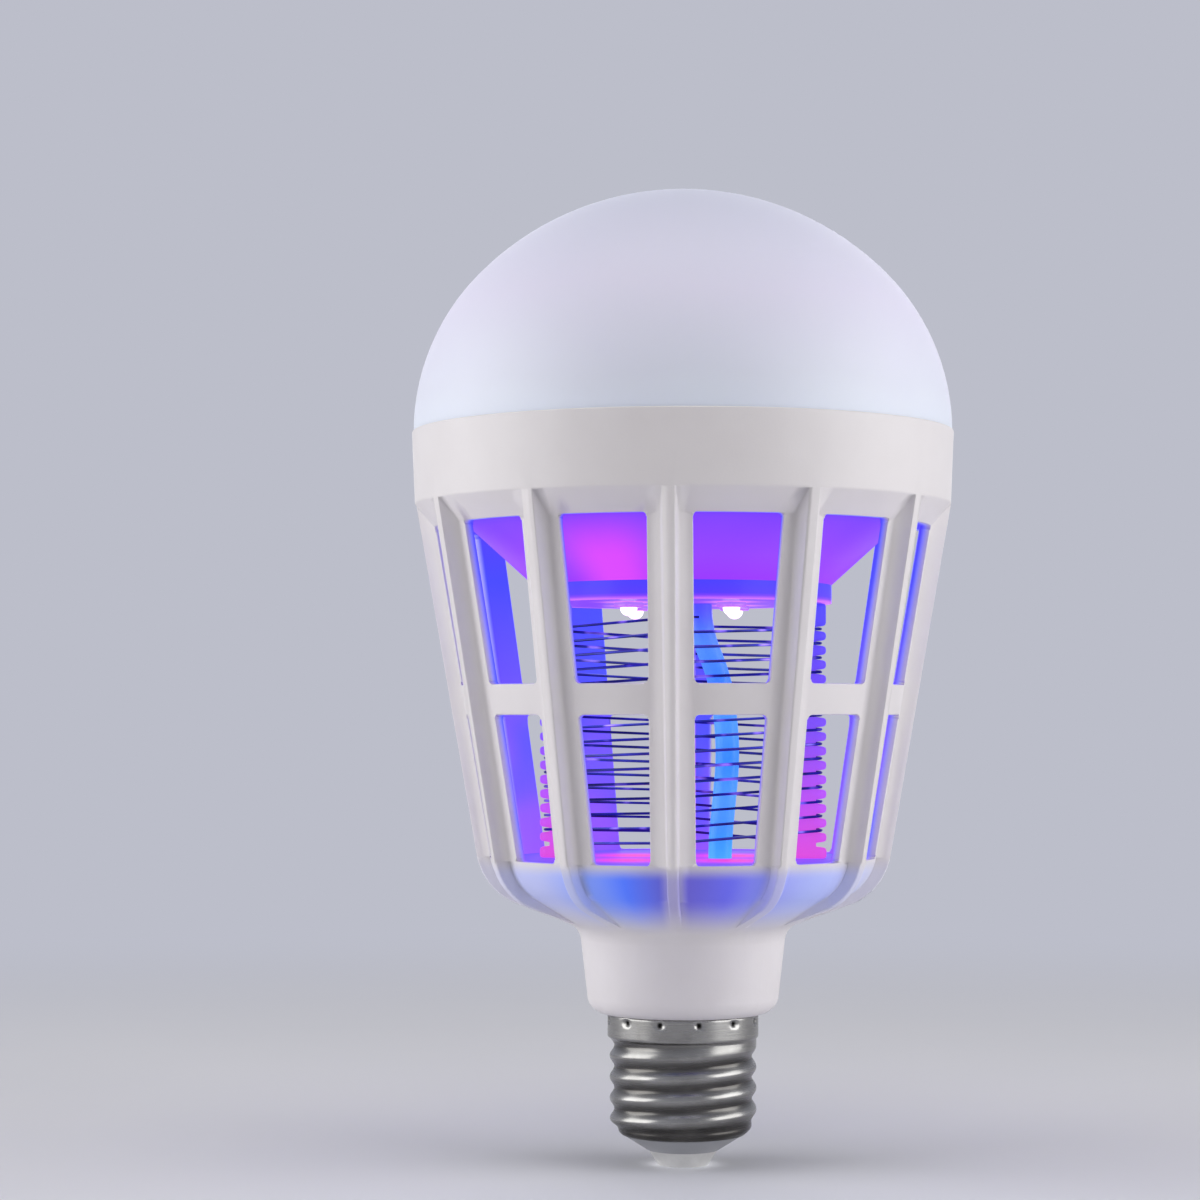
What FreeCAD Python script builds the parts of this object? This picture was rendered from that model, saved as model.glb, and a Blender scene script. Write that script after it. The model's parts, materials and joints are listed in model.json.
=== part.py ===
import FreeCAD, Part
import math
import os
import re
import Sketcher

# An insect killer light bulb with an Edison screw base, in millimetres.
# The axis is Z. The centre contact's face is z = 0 and the dome's top is the highest point.
# Ribs, grid posts and the feed lie by their azimuth: 0 is +X, and the model's front is -Y.

Vector = FreeCAD.Vector

SIZES = {
    # Screw base
    "contact_height": (2.6, "centre contact below the insulator"),
    "contact_tip_radius": (4.4, "flat end of the centre contact"),
    "contact_radius": (6.0, "centre contact where it meets the insulator"),
    "rivet_radius": (1.8, "stem that holds the contact in the insulator"),
    "insulator_height": (2.7, "visible cone of the insulator"),
    "insulator_seat": (4.6, "insulator inside the shell's end"),
    "shell_height": (20.9, "screw shell from its rolled end to the neck"),
    "shell_wall": (0.35, "sheet of the screw shell"),
    "band_radius": (13.1, "smooth band of the shell"),
    "band_height": (3.9, "smooth band above the thread"),
    "crest_drop": (0.35, "thread crests inside the band's radius"),
    "thread_pitch": (3.63, "seven turns to the inch"),
    "thread_depth": (0.8, "crest to root of the rolled thread"),
    "thread_turns": (4.5, "turns from the rolled end to the run-out"),
    "shell_end_radius": (10.7, "lip where the sheet is rolled in over the insulator"),
    "shell_end_height": (2.9, "height of the rolled-in end"),
    "punch_radius": (0.8, "punch marks that lock the shell on the neck"),
    "punch_depth": (0.28, "depth of a punch mark"),
    "punch_drop": (1.05, "punch marks below the shell's top"),
    "punch_count": (12, "punch marks round the shell"),
    "spigot_gap": (3.1, "insulator to the neck's spigot inside the shell"),
    "spigot_bore": (10.0, "inside of the spigot"),
    # Housing
    "neck_height": (14.9, "neck from the shell to the bowl"),
    "neck_bottom_radius": (16.3, "neck beside the shell, before its round edge"),
    "neck_top_radius": (18.0, "neck where it meets the bowl"),
    "neck_edge_round": (3.2, "round edge beside the shell"),
    "neck_bowl_round": (3.5, "hollow curve between the neck and the bowl"),
    "neck_wall": (1.8, "neck at its thinner end"),
    "bowl_height": (6.0, "rise of the bowl's underside"),
    "bowl_round": (11.0, "round corner between bowl and cage"),
    "cage_bottom_radius": (34.94, "ribs at the bowl's corner"),
    "cage_top_radius": (46.75, "ribs at the collar"),
    "collar_flare": (0.55, "collar at the dome beyond the ribs at the collar"),
    "sill_height": (6.1, "bowl's corner to the lower windows"),
    "lower_window_height": (24.7, "lower row of windows"),
    "ring_height": (5.2, "ring between the two rows"),
    "upper_window_height": (27.5, "upper row of windows"),
    "ledge_height": (4.0, "sloping ledge above the windows"),
    "collar_height": (12.6, "collar from the ledge to the dome"),
    "rib_count": (12, "ribs, and windows in a row"),
    "rib_depth_top": (2.75, "rib above the panels at the upper windows"),
    "rib_depth_bottom": (2.1, "rib above the panels at the bowl"),
    "rib_width_top": (2.2, "rib's outer face at the collar"),
    "rib_width_bottom": (1.5, "rib's outer face at the bowl"),
    "rib_draft": (11.0, "slope of a rib's sides, degrees"),
    "rib_fade": (3.0, "where a rib ends beyond the neck"),
    "panel_wall": (1.8, "wall behind the ribs"),
    "panel_round": (9.0, "round corner of the panels at the bowl"),
    "post_width": (7.7, "post between two windows"),
    "window_round": (0.7, "corners of a window"),
    "seat_width": (1.4, "ledges that carry the floor, the ceiling and the plate"),
    "fit": (0.2, "clearance between a piece and its seat"),
    # Dome and its light
    "dome_step": (0.3, "collar's edge beyond the dome's"),
    "dome_height": (42.4, "opal dome above the seam"),
    "dome_wall": (1.6, "opal dome"),
    "dome_spigot": (3.5, "dome inside the collar"),
    "plate_depth": (8.8, "seam down to the heat plate's seat"),
    "plate_thickness": (1.5, "heat plate"),
    "board_thickness": (1.6, "circuit boards"),
    "light_board_step": (2.05, "collar's bore to the board of the white lights"),
    "chip_length": (3.5, "white light chip"),
    "chip_width": (2.8, "white light chip"),
    "chip_height": (0.8, "white light chip"),
    "outer_ring_inset": (8.4, "board's edge to the outer ring of white chips"),
    "outer_ring_count": (16, "outer ring of white chips"),
    "inner_ring_radius": (20.0, "inner ring of white chips"),
    "inner_ring_count": (8, "inner ring of white chips"),
    # Ceiling of the chamber and its ultraviolet light
    "ceiling_depth": (15.0, "seam down to the ceiling's seat"),
    "ceiling_wall": (1.5, "ceiling moulding"),
    "ceiling_rim_width": (4.05, "flat rim round the cone"),
    "hub_radius": (26.0, "hub of the ceiling"),
    "hub_drop": (11.7, "ceiling's seat down to the hub's edge"),
    "hub_height": (3.2, "upright wall of the hub"),
    "boss_radius": (2.4, "screw bosses on the ceiling's rim"),
    "boss_inset": (2.75, "rim's edge to the screws"),
    "screw_count": (3, "screws through the heat plate"),
    "screw_radius": (1.0, "screw shank"),
    "screw_head_radius": (2.0, "screw head"),
    "screw_head_height": (1.2, "screw head"),
    "screw_length": (6.0, "screw below its head"),
    "lamp_circle": (12.5, "ultraviolet lamps"),
    "lamp_count": (4, "ultraviolet lamps"),
    "lamp_width": (3.8, "ultraviolet lamp's base"),
    "lamp_base": (0.9, "ultraviolet lamp's base"),
    "lamp_lens_radius": (1.5, "ultraviolet lamp's lens"),
    # Grid and floor
    "floor_thickness": (2.0, "chamber floor"),
    "floor_drop": (0.2, "lower windows down to the floor"),
    "comb_circle": (25.0, "tips of the grid posts' teeth"),
    "comb_depth": (5.5, "grid post, radial"),
    "comb_width": (2.6, "grid post, across"),
    "comb_count": (4, "grid posts"),
    "notch_depth": (1.8, "notch in a grid post"),
    "notch_height": (1.3, "notch in a grid post"),
    "wire_radius": (0.25, "grid wire"),
    "wire_spacing": (2.5, "between neighbouring wires"),
    "wire_bend": (2.0, "wire round a post"),
    "wire_turns": (8, "turns of each wire"),
    "wire_start": (2.4, "floor up to the lowest notch"),
    "feed_radius": (2.05, "sleeve of the feed to the lights above"),
    "feed_offset": (3.1, "feed beside the axis, in the hub and the plates"),
    "feed_foot": (6.5, "feed beside the axis, in the floor"),
    "feed_tail": (2.5, "feed below the floor"),
    # Driver
    "driver_top": (4.5, "floor seat down to the driver board's top"),
    "core_width": (14.0, "transformer core"),
    "core_height": (12.0, "transformer core"),
    "core_depth": (6.0, "transformer core"),
    "core_leg": (2.6, "outer legs and bars of the core"),
    "core_middle": (3.4, "middle leg of the core"),
    "coil_depth": (9.0, "transformer winding"),
    "bulk_radius": (4.8, "electrolytic capacitor"),
    "bulk_height": (14.0, "electrolytic capacitor"),
    "film_width": (10.5, "film capacitor"),
    "film_depth": (5.0, "film capacitor"),
    "film_height": (9.0, "film capacitor"),
    "lead_radius": (0.8, "insulated leads"),
    "lead_step": (1.2, "sideways step of a lead, and a part's distance from the board's middle"),
}

doc = FreeCAD.newDocument("insect_killer_bulb")
sheet = doc.addObject("Spreadsheet::Sheet", "sizes")
for row, (alias, (number, note)) in enumerate(SIZES.items(), start=1):
    sheet.set(f"A{row}", alias)
    sheet.set(f"B{row}", str(number))
    sheet.set(f"C{row}", note)
    sheet.setAlias(f"B{row}", alias)
doc.recompute()

# Levels above the contact's face, from the bottom up
SHELL_BOTTOM = "(contact_height + insulator_height)"
SHELL_TOP = f"({SHELL_BOTTOM} + shell_height)"
SPIGOT_BOTTOM = f"({SHELL_BOTTOM} + insulator_seat + spigot_gap)"
THREAD_TOP = f"({SHELL_TOP} - band_height)"
NECK_TOP = f"({SHELL_TOP} + neck_height)"
BOWL_TOP = f"({NECK_TOP} + bowl_height)"
SILL = f"({BOWL_TOP} + sill_height)"
RING_BOTTOM = f"({SILL} + lower_window_height)"
RING_TOP = f"({RING_BOTTOM} + ring_height)"
WINDOW_TOP = f"({RING_TOP} + upper_window_height)"
COLLAR_BOTTOM = f"({WINDOW_TOP} + ledge_height)"
SEAM = f"({COLLAR_BOTTOM} + collar_height)"
FLOOR_TOP = f"({SILL} - floor_drop)"
FLOOR_SEAT = f"({FLOOR_TOP} - floor_thickness)"
PLATE_SEAT = f"({SEAM} - plate_depth)"
CEILING_SEAT = f"({SEAM} - ceiling_depth)"
HUB_EDGE = f"({CEILING_SEAT} - hub_drop)"
HUB_BOTTOM = f"({HUB_EDGE} - hub_height)"

# Radii that several pieces share
CREST_RADIUS = "(band_radius - crest_drop)"
THREAD_ROOT = f"({CREST_RADIUS} - thread_depth)"
CAGE_SLOPE = f"((cage_top_radius - cage_bottom_radius) / ({COLLAR_BOTTOM} - {BOWL_TOP}))"
PANEL_BOTTOM = "(cage_bottom_radius - rib_depth_bottom)"
FADE_RADIUS = "(neck_top_radius + rib_fade)"
FADE_LEVEL = f"({NECK_TOP} + rib_fade * bowl_height / (cage_bottom_radius - neck_top_radius))"
PANEL_CORNER = f"({BOWL_TOP} + 0.9 * rib_depth_bottom)"


def cage_radius(level):
    """Radius of the ribs' outer faces at a level."""
    return f"(cage_bottom_radius + ({level} - {BOWL_TOP}) * {CAGE_SLOPE})"


PANEL_TOP = f"({cage_radius(WINDOW_TOP)} - rib_depth_top)"
PANEL_SLOPE = f"(({PANEL_TOP} - {PANEL_BOTTOM}) / ({WINDOW_TOP} - {PANEL_CORNER}))"


def panel_radius(level):
    """Radius of the recessed panels at a level."""
    return f"({PANEL_BOTTOM} + ({level} - {PANEL_CORNER}) * {PANEL_SLOPE})"


def inner_radius(level):
    """Radius of the chamber's wall at a level."""
    return f"({panel_radius(level)} - panel_wall)"


COLLAR_STEP = f"({inner_radius(CEILING_SEAT)} + seat_width)"
COLLAR_BORE = f"({COLLAR_STEP} + seat_width)"
CEILING_RADIUS = f"({COLLAR_STEP} - fit)"
RIM_RADIUS = f"({CEILING_RADIUS} - ceiling_rim_width)"
BOSS_CIRCLE = f"({CEILING_RADIUS} - boss_inset)"
LIGHT_BOARD_RADIUS = f"({COLLAR_BORE} - light_board_step)"
OUTER_RING = f"({LIGHT_BOARD_RADIUS} - outer_ring_inset)"
COLLAR_RADIUS = "(cage_top_radius + collar_flare)"
DOME_RADIUS = f"({COLLAR_RADIUS} - dome_step)"
DOME_SIDE = f"(0.92 * min(dome_height; {DOME_RADIUS}))"
NECK_BORE = "(min(neck_bottom_radius; neck_top_radius) - neck_wall)"
FLOOR_BORE = f"{inner_radius(FLOOR_TOP)}"
COMB_HEIGHT = f"({HUB_BOTTOM} - {FLOOR_TOP})"
NOTCH_BOTTOM = "(comb_circle - notch_depth)"
DRIVER_TOP = f"({FLOOR_SEAT} - driver_top)"
DRIVER_SHOULDER = f"({SHELL_TOP} + panel_wall)"
BOARD_FACE = "(board_thickness / 2)"

# Thin wires are swept with six flat sides, because they are too thin to show more
WIRE_SIDES = 6

# Bends of the feed from the floor up: share of the chamber's height, and distance from the axis
FEED_BENDS = (
    (0.10, "feed_foot"),
    (0.45, "feed_foot + 1.6"),
    (0.71, "feed_foot + 0.2"),
    (0.90, "feed_offset"),
)


def value(text):
    """Number that an expression of sizes gives now."""
    return float(sheet.evalExpression(text))


def bound(text):
    """The same expression, as other objects of the document read the sheet."""
    def prefixed(match):
        word = match.group()
        return f"sizes.{word}" if word in SIZES else word
    return re.sub(r"[a-z_]+", prefixed, text)


def new_body(name):
    body = doc.addObject("PartDesign::Body", name)
    body.Label = name
    return body


def place(piece, x="0", y="0", z="0", turn="0"):
    """Move a piece to its seat and turn it about Z, both read from the sheet."""
    turned = FreeCAD.Rotation(Vector(0, 0, 1), value(turn))
    piece.Placement = FreeCAD.Placement(Vector(value(x), value(y), value(z)), turned)
    for axis, text in (("x", x), ("y", y), ("z", z)):
        if text != "0":
            piece.setExpression(f".Placement.Base.{axis}", bound(text))
    if turn != "0":
        piece.setExpression(".Placement.Rotation.Angle", bound(turn))


def origin_part(body, role):
    return next(item for item in body.Origin.OriginFeatures if item.Role == role)


def new_sketch(body, role, name, offset="0", turn="0"):
    """Sketch on one of the body's planes. XZ and YZ sketches have Z up, and turn is their azimuth."""
    sketch = body.newObject("Sketcher::SketchObject", f"{body.Name}_{name}")
    sketch.AttachmentSupport = [(origin_part(body, role), "")]
    sketch.MapMode = "FlatFace"
    axis = Vector(0, 0, 1) if role == "XY_Plane" else Vector(0, 1, 0)
    lifted = Vector(0, 0, value(offset))
    sketch.AttachmentOffset = FreeCAD.Placement(lifted, FreeCAD.Rotation(axis, value(turn)))
    if offset != "0":
        sketch.setExpression("AttachmentOffset.Base.z", bound(offset))
    if turn != "0":
        sketch.setExpression("AttachmentOffset.Rotation.Angle", bound(turn))
    return sketch


def pin_point(sketch, geometry, end, across, up):
    """Hold a point of the sketch at two sizes. A size of "0" lies on the axis."""
    for kind, axis, text in (("DistanceX", -2, across), ("DistanceY", -1, up)):
        if text == "0":
            sketch.addConstraint(Sketcher.Constraint("PointOnObject", geometry, end, axis))
        else:
            number = sketch.addConstraint(Sketcher.Constraint(kind, geometry, end, value(text)))
            sketch.setExpression(f"Constraints[{number}]", bound(text))


def add_circle(sketch, radius, across="0", up="0"):
    centre = Vector(value(across), value(up), 0)
    circle = sketch.addGeometry(Part.Circle(centre, Vector(0, 0, 1), value(radius)))
    number = sketch.addConstraint(Sketcher.Constraint("Radius", circle, value(radius)))
    sketch.setExpression(f"Constraints[{number}]", bound(radius))
    if across == "0" and up == "0":
        sketch.addConstraint(Sketcher.Constraint("Coincident", circle, 3, -1, 1))
    else:
        pin_point(sketch, circle, 3, across, up)


def add_outline(sketch, corners):
    """Draw a closed line round the corners, each (across, up) or (across, up, radius) for a round one."""
    corners = [corner + ("0",) * (3 - len(corner)) for corner in corners]
    points = [Vector(value(across), value(up), 0) for across, up, _ in corners]
    count = len(corners)
    starts, ends, arcs = list(points), list(points), {}
    for i, (_, _, radius) in enumerate(corners):
        if radius == "0":
            continue
        before = (points[i - 1] - points[i]).normalize()
        after = (points[(i + 1) % count] - points[i]).normalize()
        half_turn = before.getAngle(after) / 2
        cut = value(radius) / math.tan(half_turn)
        middle = points[i] + (before + after).normalize() * (value(radius) / math.sin(half_turn))
        ends[i] = points[i] + before * cut
        starts[i] = points[i] + after * cut
        arcs[i] = (middle, before.cross(after).z < 0)
    lines = []
    for i in range(count):
        lines.append(sketch.addGeometry(Part.LineSegment(starts[i], ends[(i + 1) % count])))
    for i, (across, up, radius) in enumerate(corners):
        leaving = lines[i]
        arriving = lines[i - 1]
        if radius == "0":
            sketch.addConstraint(Sketcher.Constraint("Coincident", arriving, 2, leaving, 1))
            pin_point(sketch, leaving, 1, across, up)
            continue
        middle, left_turn = arcs[i]
        first, last = (ends[i], starts[i]) if left_turn else (starts[i], ends[i])
        angles = [math.atan2((end - middle).y, (end - middle).x) for end in (first, last)]
        circle = Part.Circle(middle, Vector(0, 0, 1), value(radius))
        arc = sketch.addGeometry(Part.ArcOfCircle(circle, angles[0], angles[1]))
        number = sketch.addConstraint(Sketcher.Constraint("Radius", arc, value(radius)))
        sketch.setExpression(f"Constraints[{number}]", bound(radius))
        sketch.addConstraint(Sketcher.Constraint("Tangent", arriving, 2, arc, 1 if left_turn else 2))
        sketch.addConstraint(Sketcher.Constraint("Tangent", arc, 2 if left_turn else 1, leaving, 1))
        mark = sketch.addGeometry(Part.Point(points[i]), True)
        sketch.addConstraint(Sketcher.Constraint("PointOnObject", mark, 1, arriving))
        sketch.addConstraint(Sketcher.Constraint("PointOnObject", mark, 1, leaving))
        pin_point(sketch, mark, 1, across, up)


def revolve(body, name, corners, cut=False, role="XZ_Plane"):
    """Turn a profile of (radius, height) corners about the body's Z axis."""
    sketch = new_sketch(body, role, name + "_profile")
    add_outline(sketch, corners)
    turned = body.newObject("PartDesign::Groove" if cut else "PartDesign::Revolution", f"{body.Name}_{name}")
    turned.Profile = sketch
    turned.ReferenceAxis = (sketch, ["V_Axis"])
    turned.Angle = 360
    return turned


def extrude(body, name, sketch, length, cut=False, both=False, reverse=False):
    """Pad or pocket a sketch over a length, to both sides of its plane where both is set."""
    feature = body.newObject("PartDesign::Pocket" if cut else "PartDesign::Pad", f"{body.Name}_{name}")
    feature.Profile = sketch
    feature.SideType = "Symmetric" if both else "One side"
    feature.Reversed = reverse
    feature.setExpression("Length", bound(length))
    return feature


def ring_of(body, name, features, count):
    """Repeat features round the body's Z axis."""
    pattern = body.newObject("PartDesign::PolarPattern", f"{body.Name}_{name}")
    pattern.Originals = features
    pattern.Axis = (origin_part(body, "Z_Axis"), [""])
    pattern.Angle = 360
    pattern.setExpression("Occurrences", bound(count))
    body.Tip = pattern
    return pattern


def disc(name, radius, thickness, level, feed="feed_offset"):
    """Round plate whose underside is at a level, with a hole for the feed."""
    body = new_body(name)
    sketch = new_sketch(body, "XY_Plane", "outline")
    add_circle(sketch, radius)
    add_circle(sketch, "feed_radius + fit", feed)
    extrude(body, "plate", sketch, thickness)
    place(body, z=level)
    return body


def drill(body, name, radius, across, depth, level):
    """Cut a round hole upwards from a level of the body, at a distance from its axis."""
    sketch = new_sketch(body, "XY_Plane", name + "_outline", offset=level)
    add_circle(sketch, radius, across)
    return extrude(body, name, sketch, depth, cut=True, reverse=True)


def smooth_path(points, radii):
    """Wire of straight runs joined by tangent arcs, one radius for each inner point."""
    edges, start = [], points[0]
    for i, radius in enumerate(radii, start=1):
        before = (points[i - 1] - points[i]).normalize()
        after = (points[i + 1] - points[i]).normalize()
        half_turn = before.getAngle(after) / 2
        cut = radius / math.tan(half_turn)
        first, last = points[i] + before * cut, points[i] + after * cut
        middle = points[i] + (before + after).normalize() * (radius / math.sin(half_turn) - radius)
        edges.append(Part.LineSegment(start, first).toShape())
        edges.append(Part.Arc(first, middle, last).toShape())
        start = last
    edges.append(Part.LineSegment(start, points[-1]).toShape())
    return Part.Wire(edges)


def bend_radii(points):
    """Largest tangent arcs that the runs beside each inner point leave room for."""
    radii = []
    for before, here, after in zip(points, points[1:], points[2:]):
        turn = math.pi - (before - here).getAngle(after - here)
        shorter = min((before - here).Length, (after - here).Length)
        radii.append(0.45 * shorter / math.tan(turn / 2))
    return radii


def rod(name, points, radius, radii=None, sides=0):
    """Wire, lead or sleeve swept along a smooth path, round or with a few flat sides."""
    path = smooth_path(points, radii or bend_radii(points))
    along = points[1] - points[0]
    circle = Part.Circle(points[0], along, radius)
    if sides:
        turns = [2 * math.pi * side / sides for side in range(sides + 1)]
        profile = Part.makePolygon([circle.value(turn) for turn in turns])
    else:
        profile = Part.Wire(circle.toShape())
    piece = doc.addObject("Part::Feature", name)
    piece.Label = name
    piece.Shape = path.makePipeShell([profile], True, False)
    share = piece.Shape.Volume / (Part.Face(profile).Area * path.Length)
    if abs(share - 1) > 0.01:
        raise RuntimeError(f"{name} has {share:.3f} of its volume")
    return piece


# Screw base


def centre_contact():
    body = new_body("centre_contact")
    stem_top = "(contact_height + insulator_seat + insulator_height)"
    revolve(body, "button", [
        ("0", "0"),
        ("contact_tip_radius", "0"),
        ("contact_radius", "contact_height"),
        ("rivet_radius", "contact_height"),
        ("rivet_radius", stem_top),
        ("0", stem_top),
    ])
    return body


def base_insulator():
    body = new_body("base_insulator")
    lip = "(shell_end_radius - shell_wall - fit / 2)"
    revolve(body, "cone", [
        ("rivet_radius + fit / 4", "0"),
        ("contact_radius + fit", "0"),
        (lip, "insulator_height - fit"),
        (lip, "insulator_height + 2 * fit"),
        (f"{THREAD_ROOT} - shell_wall - 2 * fit", "insulator_height + shell_end_height + fit"),
        (f"{THREAD_ROOT} - shell_wall - 2 * fit", "insulator_height + insulator_seat - fit"),
        ("rivet_radius + fit / 4", "insulator_height + insulator_seat - fit"),
    ])
    place(body, z="contact_height")
    return body


def screw_shell():
    """Sheet shell: plain wall turned first, then the thread is cut along its helix."""
    body = new_body("screw_shell")
    bore = f"({THREAD_ROOT} - shell_wall)"
    revolve(body, "wall", [
        ("shell_end_radius - shell_wall", "0"),
        ("shell_end_radius", "0"),
        (CREST_RADIUS, "shell_end_height", "shell_end_height / 2"),
        (CREST_RADIUS, "shell_height - band_height - crest_drop"),
        ("band_radius", "shell_height - band_height"),
        ("band_radius", "shell_height"),
        ("band_radius - shell_wall", "shell_height"),
        ("band_radius - shell_wall", "shell_height - band_height + thread_depth / 2"),
        (bore, "shell_height - band_height - thread_depth / 2"),
        (bore, "shell_end_height + shell_wall", "shell_end_height / 3"),
    ])
    groove = new_sketch(body, "XZ_Plane", "groove_outline")
    half = "(0.47 * thread_pitch)"
    root = "(0.36 * thread_pitch / 2)"
    clear = f"({CREST_RADIUS} + thread_depth / 2)"
    low = "(-0.3 * thread_pitch)"
    add_outline(groove, [
        (clear, f"{low} - {half}"),
        (CREST_RADIUS, f"{low} - {half}"),
        (THREAD_ROOT, f"{low} - {root}"),
        (THREAD_ROOT, f"{low} + {root}"),
        (CREST_RADIUS, f"{low} + {half}"),
        (clear, f"{low} + {half}"),
    ])
    thread = body.newObject("PartDesign::SubtractiveHelix", "screw_shell_thread")
    thread.Profile = groove
    thread.ReferenceAxis = (groove, ["V_Axis"])
    thread.Mode = "pitch-turns-angle"
    thread.setExpression("Pitch", bound("thread_pitch"))
    thread.setExpression("Turns", bound("thread_turns"))
    thread.LeftHanded = False
    floor = "band_radius - punch_depth"
    spot = new_sketch(body, "YZ_Plane", "punch_outline", offset=floor, turn="180 / punch_count")
    add_circle(spot, "punch_radius", "0", "shell_height - punch_drop")
    mark = extrude(body, "punch", spot, "punch_depth * 4", cut=True, reverse=True)
    ring_of(body, "punches", [mark], "punch_count")
    place(body, z=SHELL_BOTTOM)
    return body


# Housing


def rib_section(body, name, level, width):
    """Rib's cross-section at a level: narrow outside and wider where it leaves the panel."""
    sketch = new_sketch(body, "XY_Plane", name, offset=level)
    root = f"({panel_radius(level)} - panel_wall / 2)"
    tip = f"({cage_radius(level)} + panel_wall / 2)"
    flare = f"(tan(rib_draft) * ({cage_radius(level)} - {root}))"
    trim = "(tan(rib_draft) * panel_wall / 2)"
    add_outline(sketch, [
        (root, f"-({width} / 2 + {flare})"),
        (tip, f"-({width} / 2 - {trim})"),
        (tip, f"{width} / 2 - {trim}"),
        (root, f"{width} / 2 + {flare}"),
    ])
    return sketch


def window(body, name, bottom, top):
    """One window of a row, between two posts of even width."""
    def half_width(level):
        return f"({panel_radius(level)} * sin(180 / rib_count) - post_width / 2 * cos(180 / rib_count))"
    sketch = new_sketch(body, "YZ_Plane", name + "_outline", turn="180 / rib_count")
    add_outline(sketch, [
        (f"-{half_width(bottom)}", bottom, "window_round"),
        (half_width(bottom), bottom, "window_round"),
        (half_width(top), top, "window_round"),
        (f"-{half_width(top)}", top, "window_round"),
    ])
    return extrude(body, name, sketch, f"{COLLAR_RADIUS} + dome_wall", cut=True, reverse=True)


def cage_housing():
    """One moulding: spigot, neck, bowl, ribbed and windowed cage, ring and collar."""
    body = new_body("cage_housing")
    sleeve = "(band_radius - shell_wall - fit / 2)"
    stem = f"({THREAD_ROOT} - shell_wall - fit / 2)"
    step = f"{THREAD_TOP} + thread_depth / 2 + fit"
    outside = f"({COLLAR_RADIUS} + 6 * panel_wall)"
    over = f"{SEAM} + panel_wall"
    revolve(body, "panels", [
        ("0", SPIGOT_BOTTOM),
        (stem, SPIGOT_BOTTOM),
        (stem, step),
        (sleeve, step),
        (sleeve, SHELL_TOP),
        ("neck_bottom_radius", SHELL_TOP, "neck_edge_round"),
        ("neck_top_radius", NECK_TOP, "neck_bowl_round"),
        (FADE_RADIUS, FADE_LEVEL),
        (PANEL_BOTTOM, PANEL_CORNER, "panel_round"),
        (PANEL_TOP, WINDOW_TOP),
        ("cage_top_radius", COLLAR_BOTTOM),
        (COLLAR_RADIUS, SEAM),
        ("0", SEAM),
    ])
    upper = rib_section(body, "rib_top", f"{COLLAR_BOTTOM} + panel_wall / 2", "rib_width_top")
    lower = rib_section(body, "rib_bottom", SILL, "rib_width_bottom")
    rib = body.newObject("PartDesign::AdditiveLoft", "cage_housing_rib")
    rib.Profile = upper
    rib.Sections = [lower]
    rib.Ruled = True
    foot = new_sketch(body, "XZ_Plane", "rib_foot_outline")
    add_outline(foot, [
        (FADE_RADIUS, FADE_LEVEL),
        (f"{PANEL_BOTTOM} - panel_round / 2", SILL),
        (f"{cage_radius(SILL)} + panel_wall / 2", SILL),
        (f"{cage_radius(SILL)} + panel_wall / 2", FADE_LEVEL),
    ])
    rib_foot = extrude(body, "rib_foot", foot, "rib_width_bottom * 1.25", both=True)
    ring_of(body, "ribs", [rib, rib_foot], "rib_count")
    revolve(body, "outer_trim", [
        (FADE_RADIUS, FADE_LEVEL),
        ("cage_bottom_radius", BOWL_TOP, "bowl_round"),
        ("cage_top_radius", COLLAR_BOTTOM),
        (COLLAR_RADIUS, SEAM),
        (COLLAR_RADIUS, over),
        (outside, over),
        (outside, f"{FADE_LEVEL} - panel_wall"),
        (FADE_RADIUS, f"{FADE_LEVEL} - panel_wall / 4"),
    ], cut=True)
    revolve(body, "chamber", [
        ("0", f"{SPIGOT_BOTTOM} - panel_wall"),
        ("spigot_bore", f"{SPIGOT_BOTTOM} - panel_wall"),
        ("spigot_bore", DRIVER_SHOULDER),
        (NECK_BORE, DRIVER_SHOULDER),
        (NECK_BORE, f"{NECK_TOP} + 1.3 * panel_wall"),
        (f"{PANEL_BOTTOM} - 3 * panel_wall", f"{PANEL_CORNER} - panel_wall / 2"),
        (f"{FLOOR_BORE} - seat_width", FLOOR_SEAT),
        (FLOOR_BORE, FLOOR_SEAT),
        (FLOOR_BORE, FLOOR_TOP),
        (inner_radius(CEILING_SEAT), CEILING_SEAT),
        (COLLAR_STEP, CEILING_SEAT),
        (COLLAR_STEP, PLATE_SEAT),
        (COLLAR_BORE, PLATE_SEAT),
        (COLLAR_BORE, over),
        ("0", over),
    ], cut=True)
    low = window(body, "lower_window", SILL, RING_BOTTOM)
    high = window(body, "upper_window", RING_TOP, WINDOW_TOP)
    ring_of(body, "windows", [low, high], "rib_count")
    return body


# Dome and its light


def add_dome_arcs(sketch, radius, height, shoulder):
    """Round side arc from the seam, running tangent into the flatter crown arc. Returns both."""
    wide, tall, side = value(radius), value(height), value(shoulder)
    inset = wide - side
    crown = (inset ** 2 + tall ** 2 - side ** 2) / (2 * (tall - side))
    join = math.atan2(crown - tall, inset)
    low_circle = Part.Circle(Vector(inset, 0, 0), Vector(0, 0, 1), side)
    high_circle = Part.Circle(Vector(0, tall - crown, 0), Vector(0, 0, 1), crown)
    low = sketch.addGeometry(Part.ArcOfCircle(low_circle, 0, join))
    high = sketch.addGeometry(Part.ArcOfCircle(high_circle, join, math.pi / 2))
    pin_point(sketch, low, 1, radius, "0")
    sketch.addConstraint(Sketcher.Constraint("PointOnObject", low, 3, -1))
    number = sketch.addConstraint(Sketcher.Constraint("Radius", low, side))
    sketch.setExpression(f"Constraints[{number}]", bound(shoulder))
    sketch.addConstraint(Sketcher.Constraint("Tangent", low, 2, high, 1))
    sketch.addConstraint(Sketcher.Constraint("PointOnObject", high, 3, -2))
    pin_point(sketch, high, 2, "0", height)
    return low, high


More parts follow.
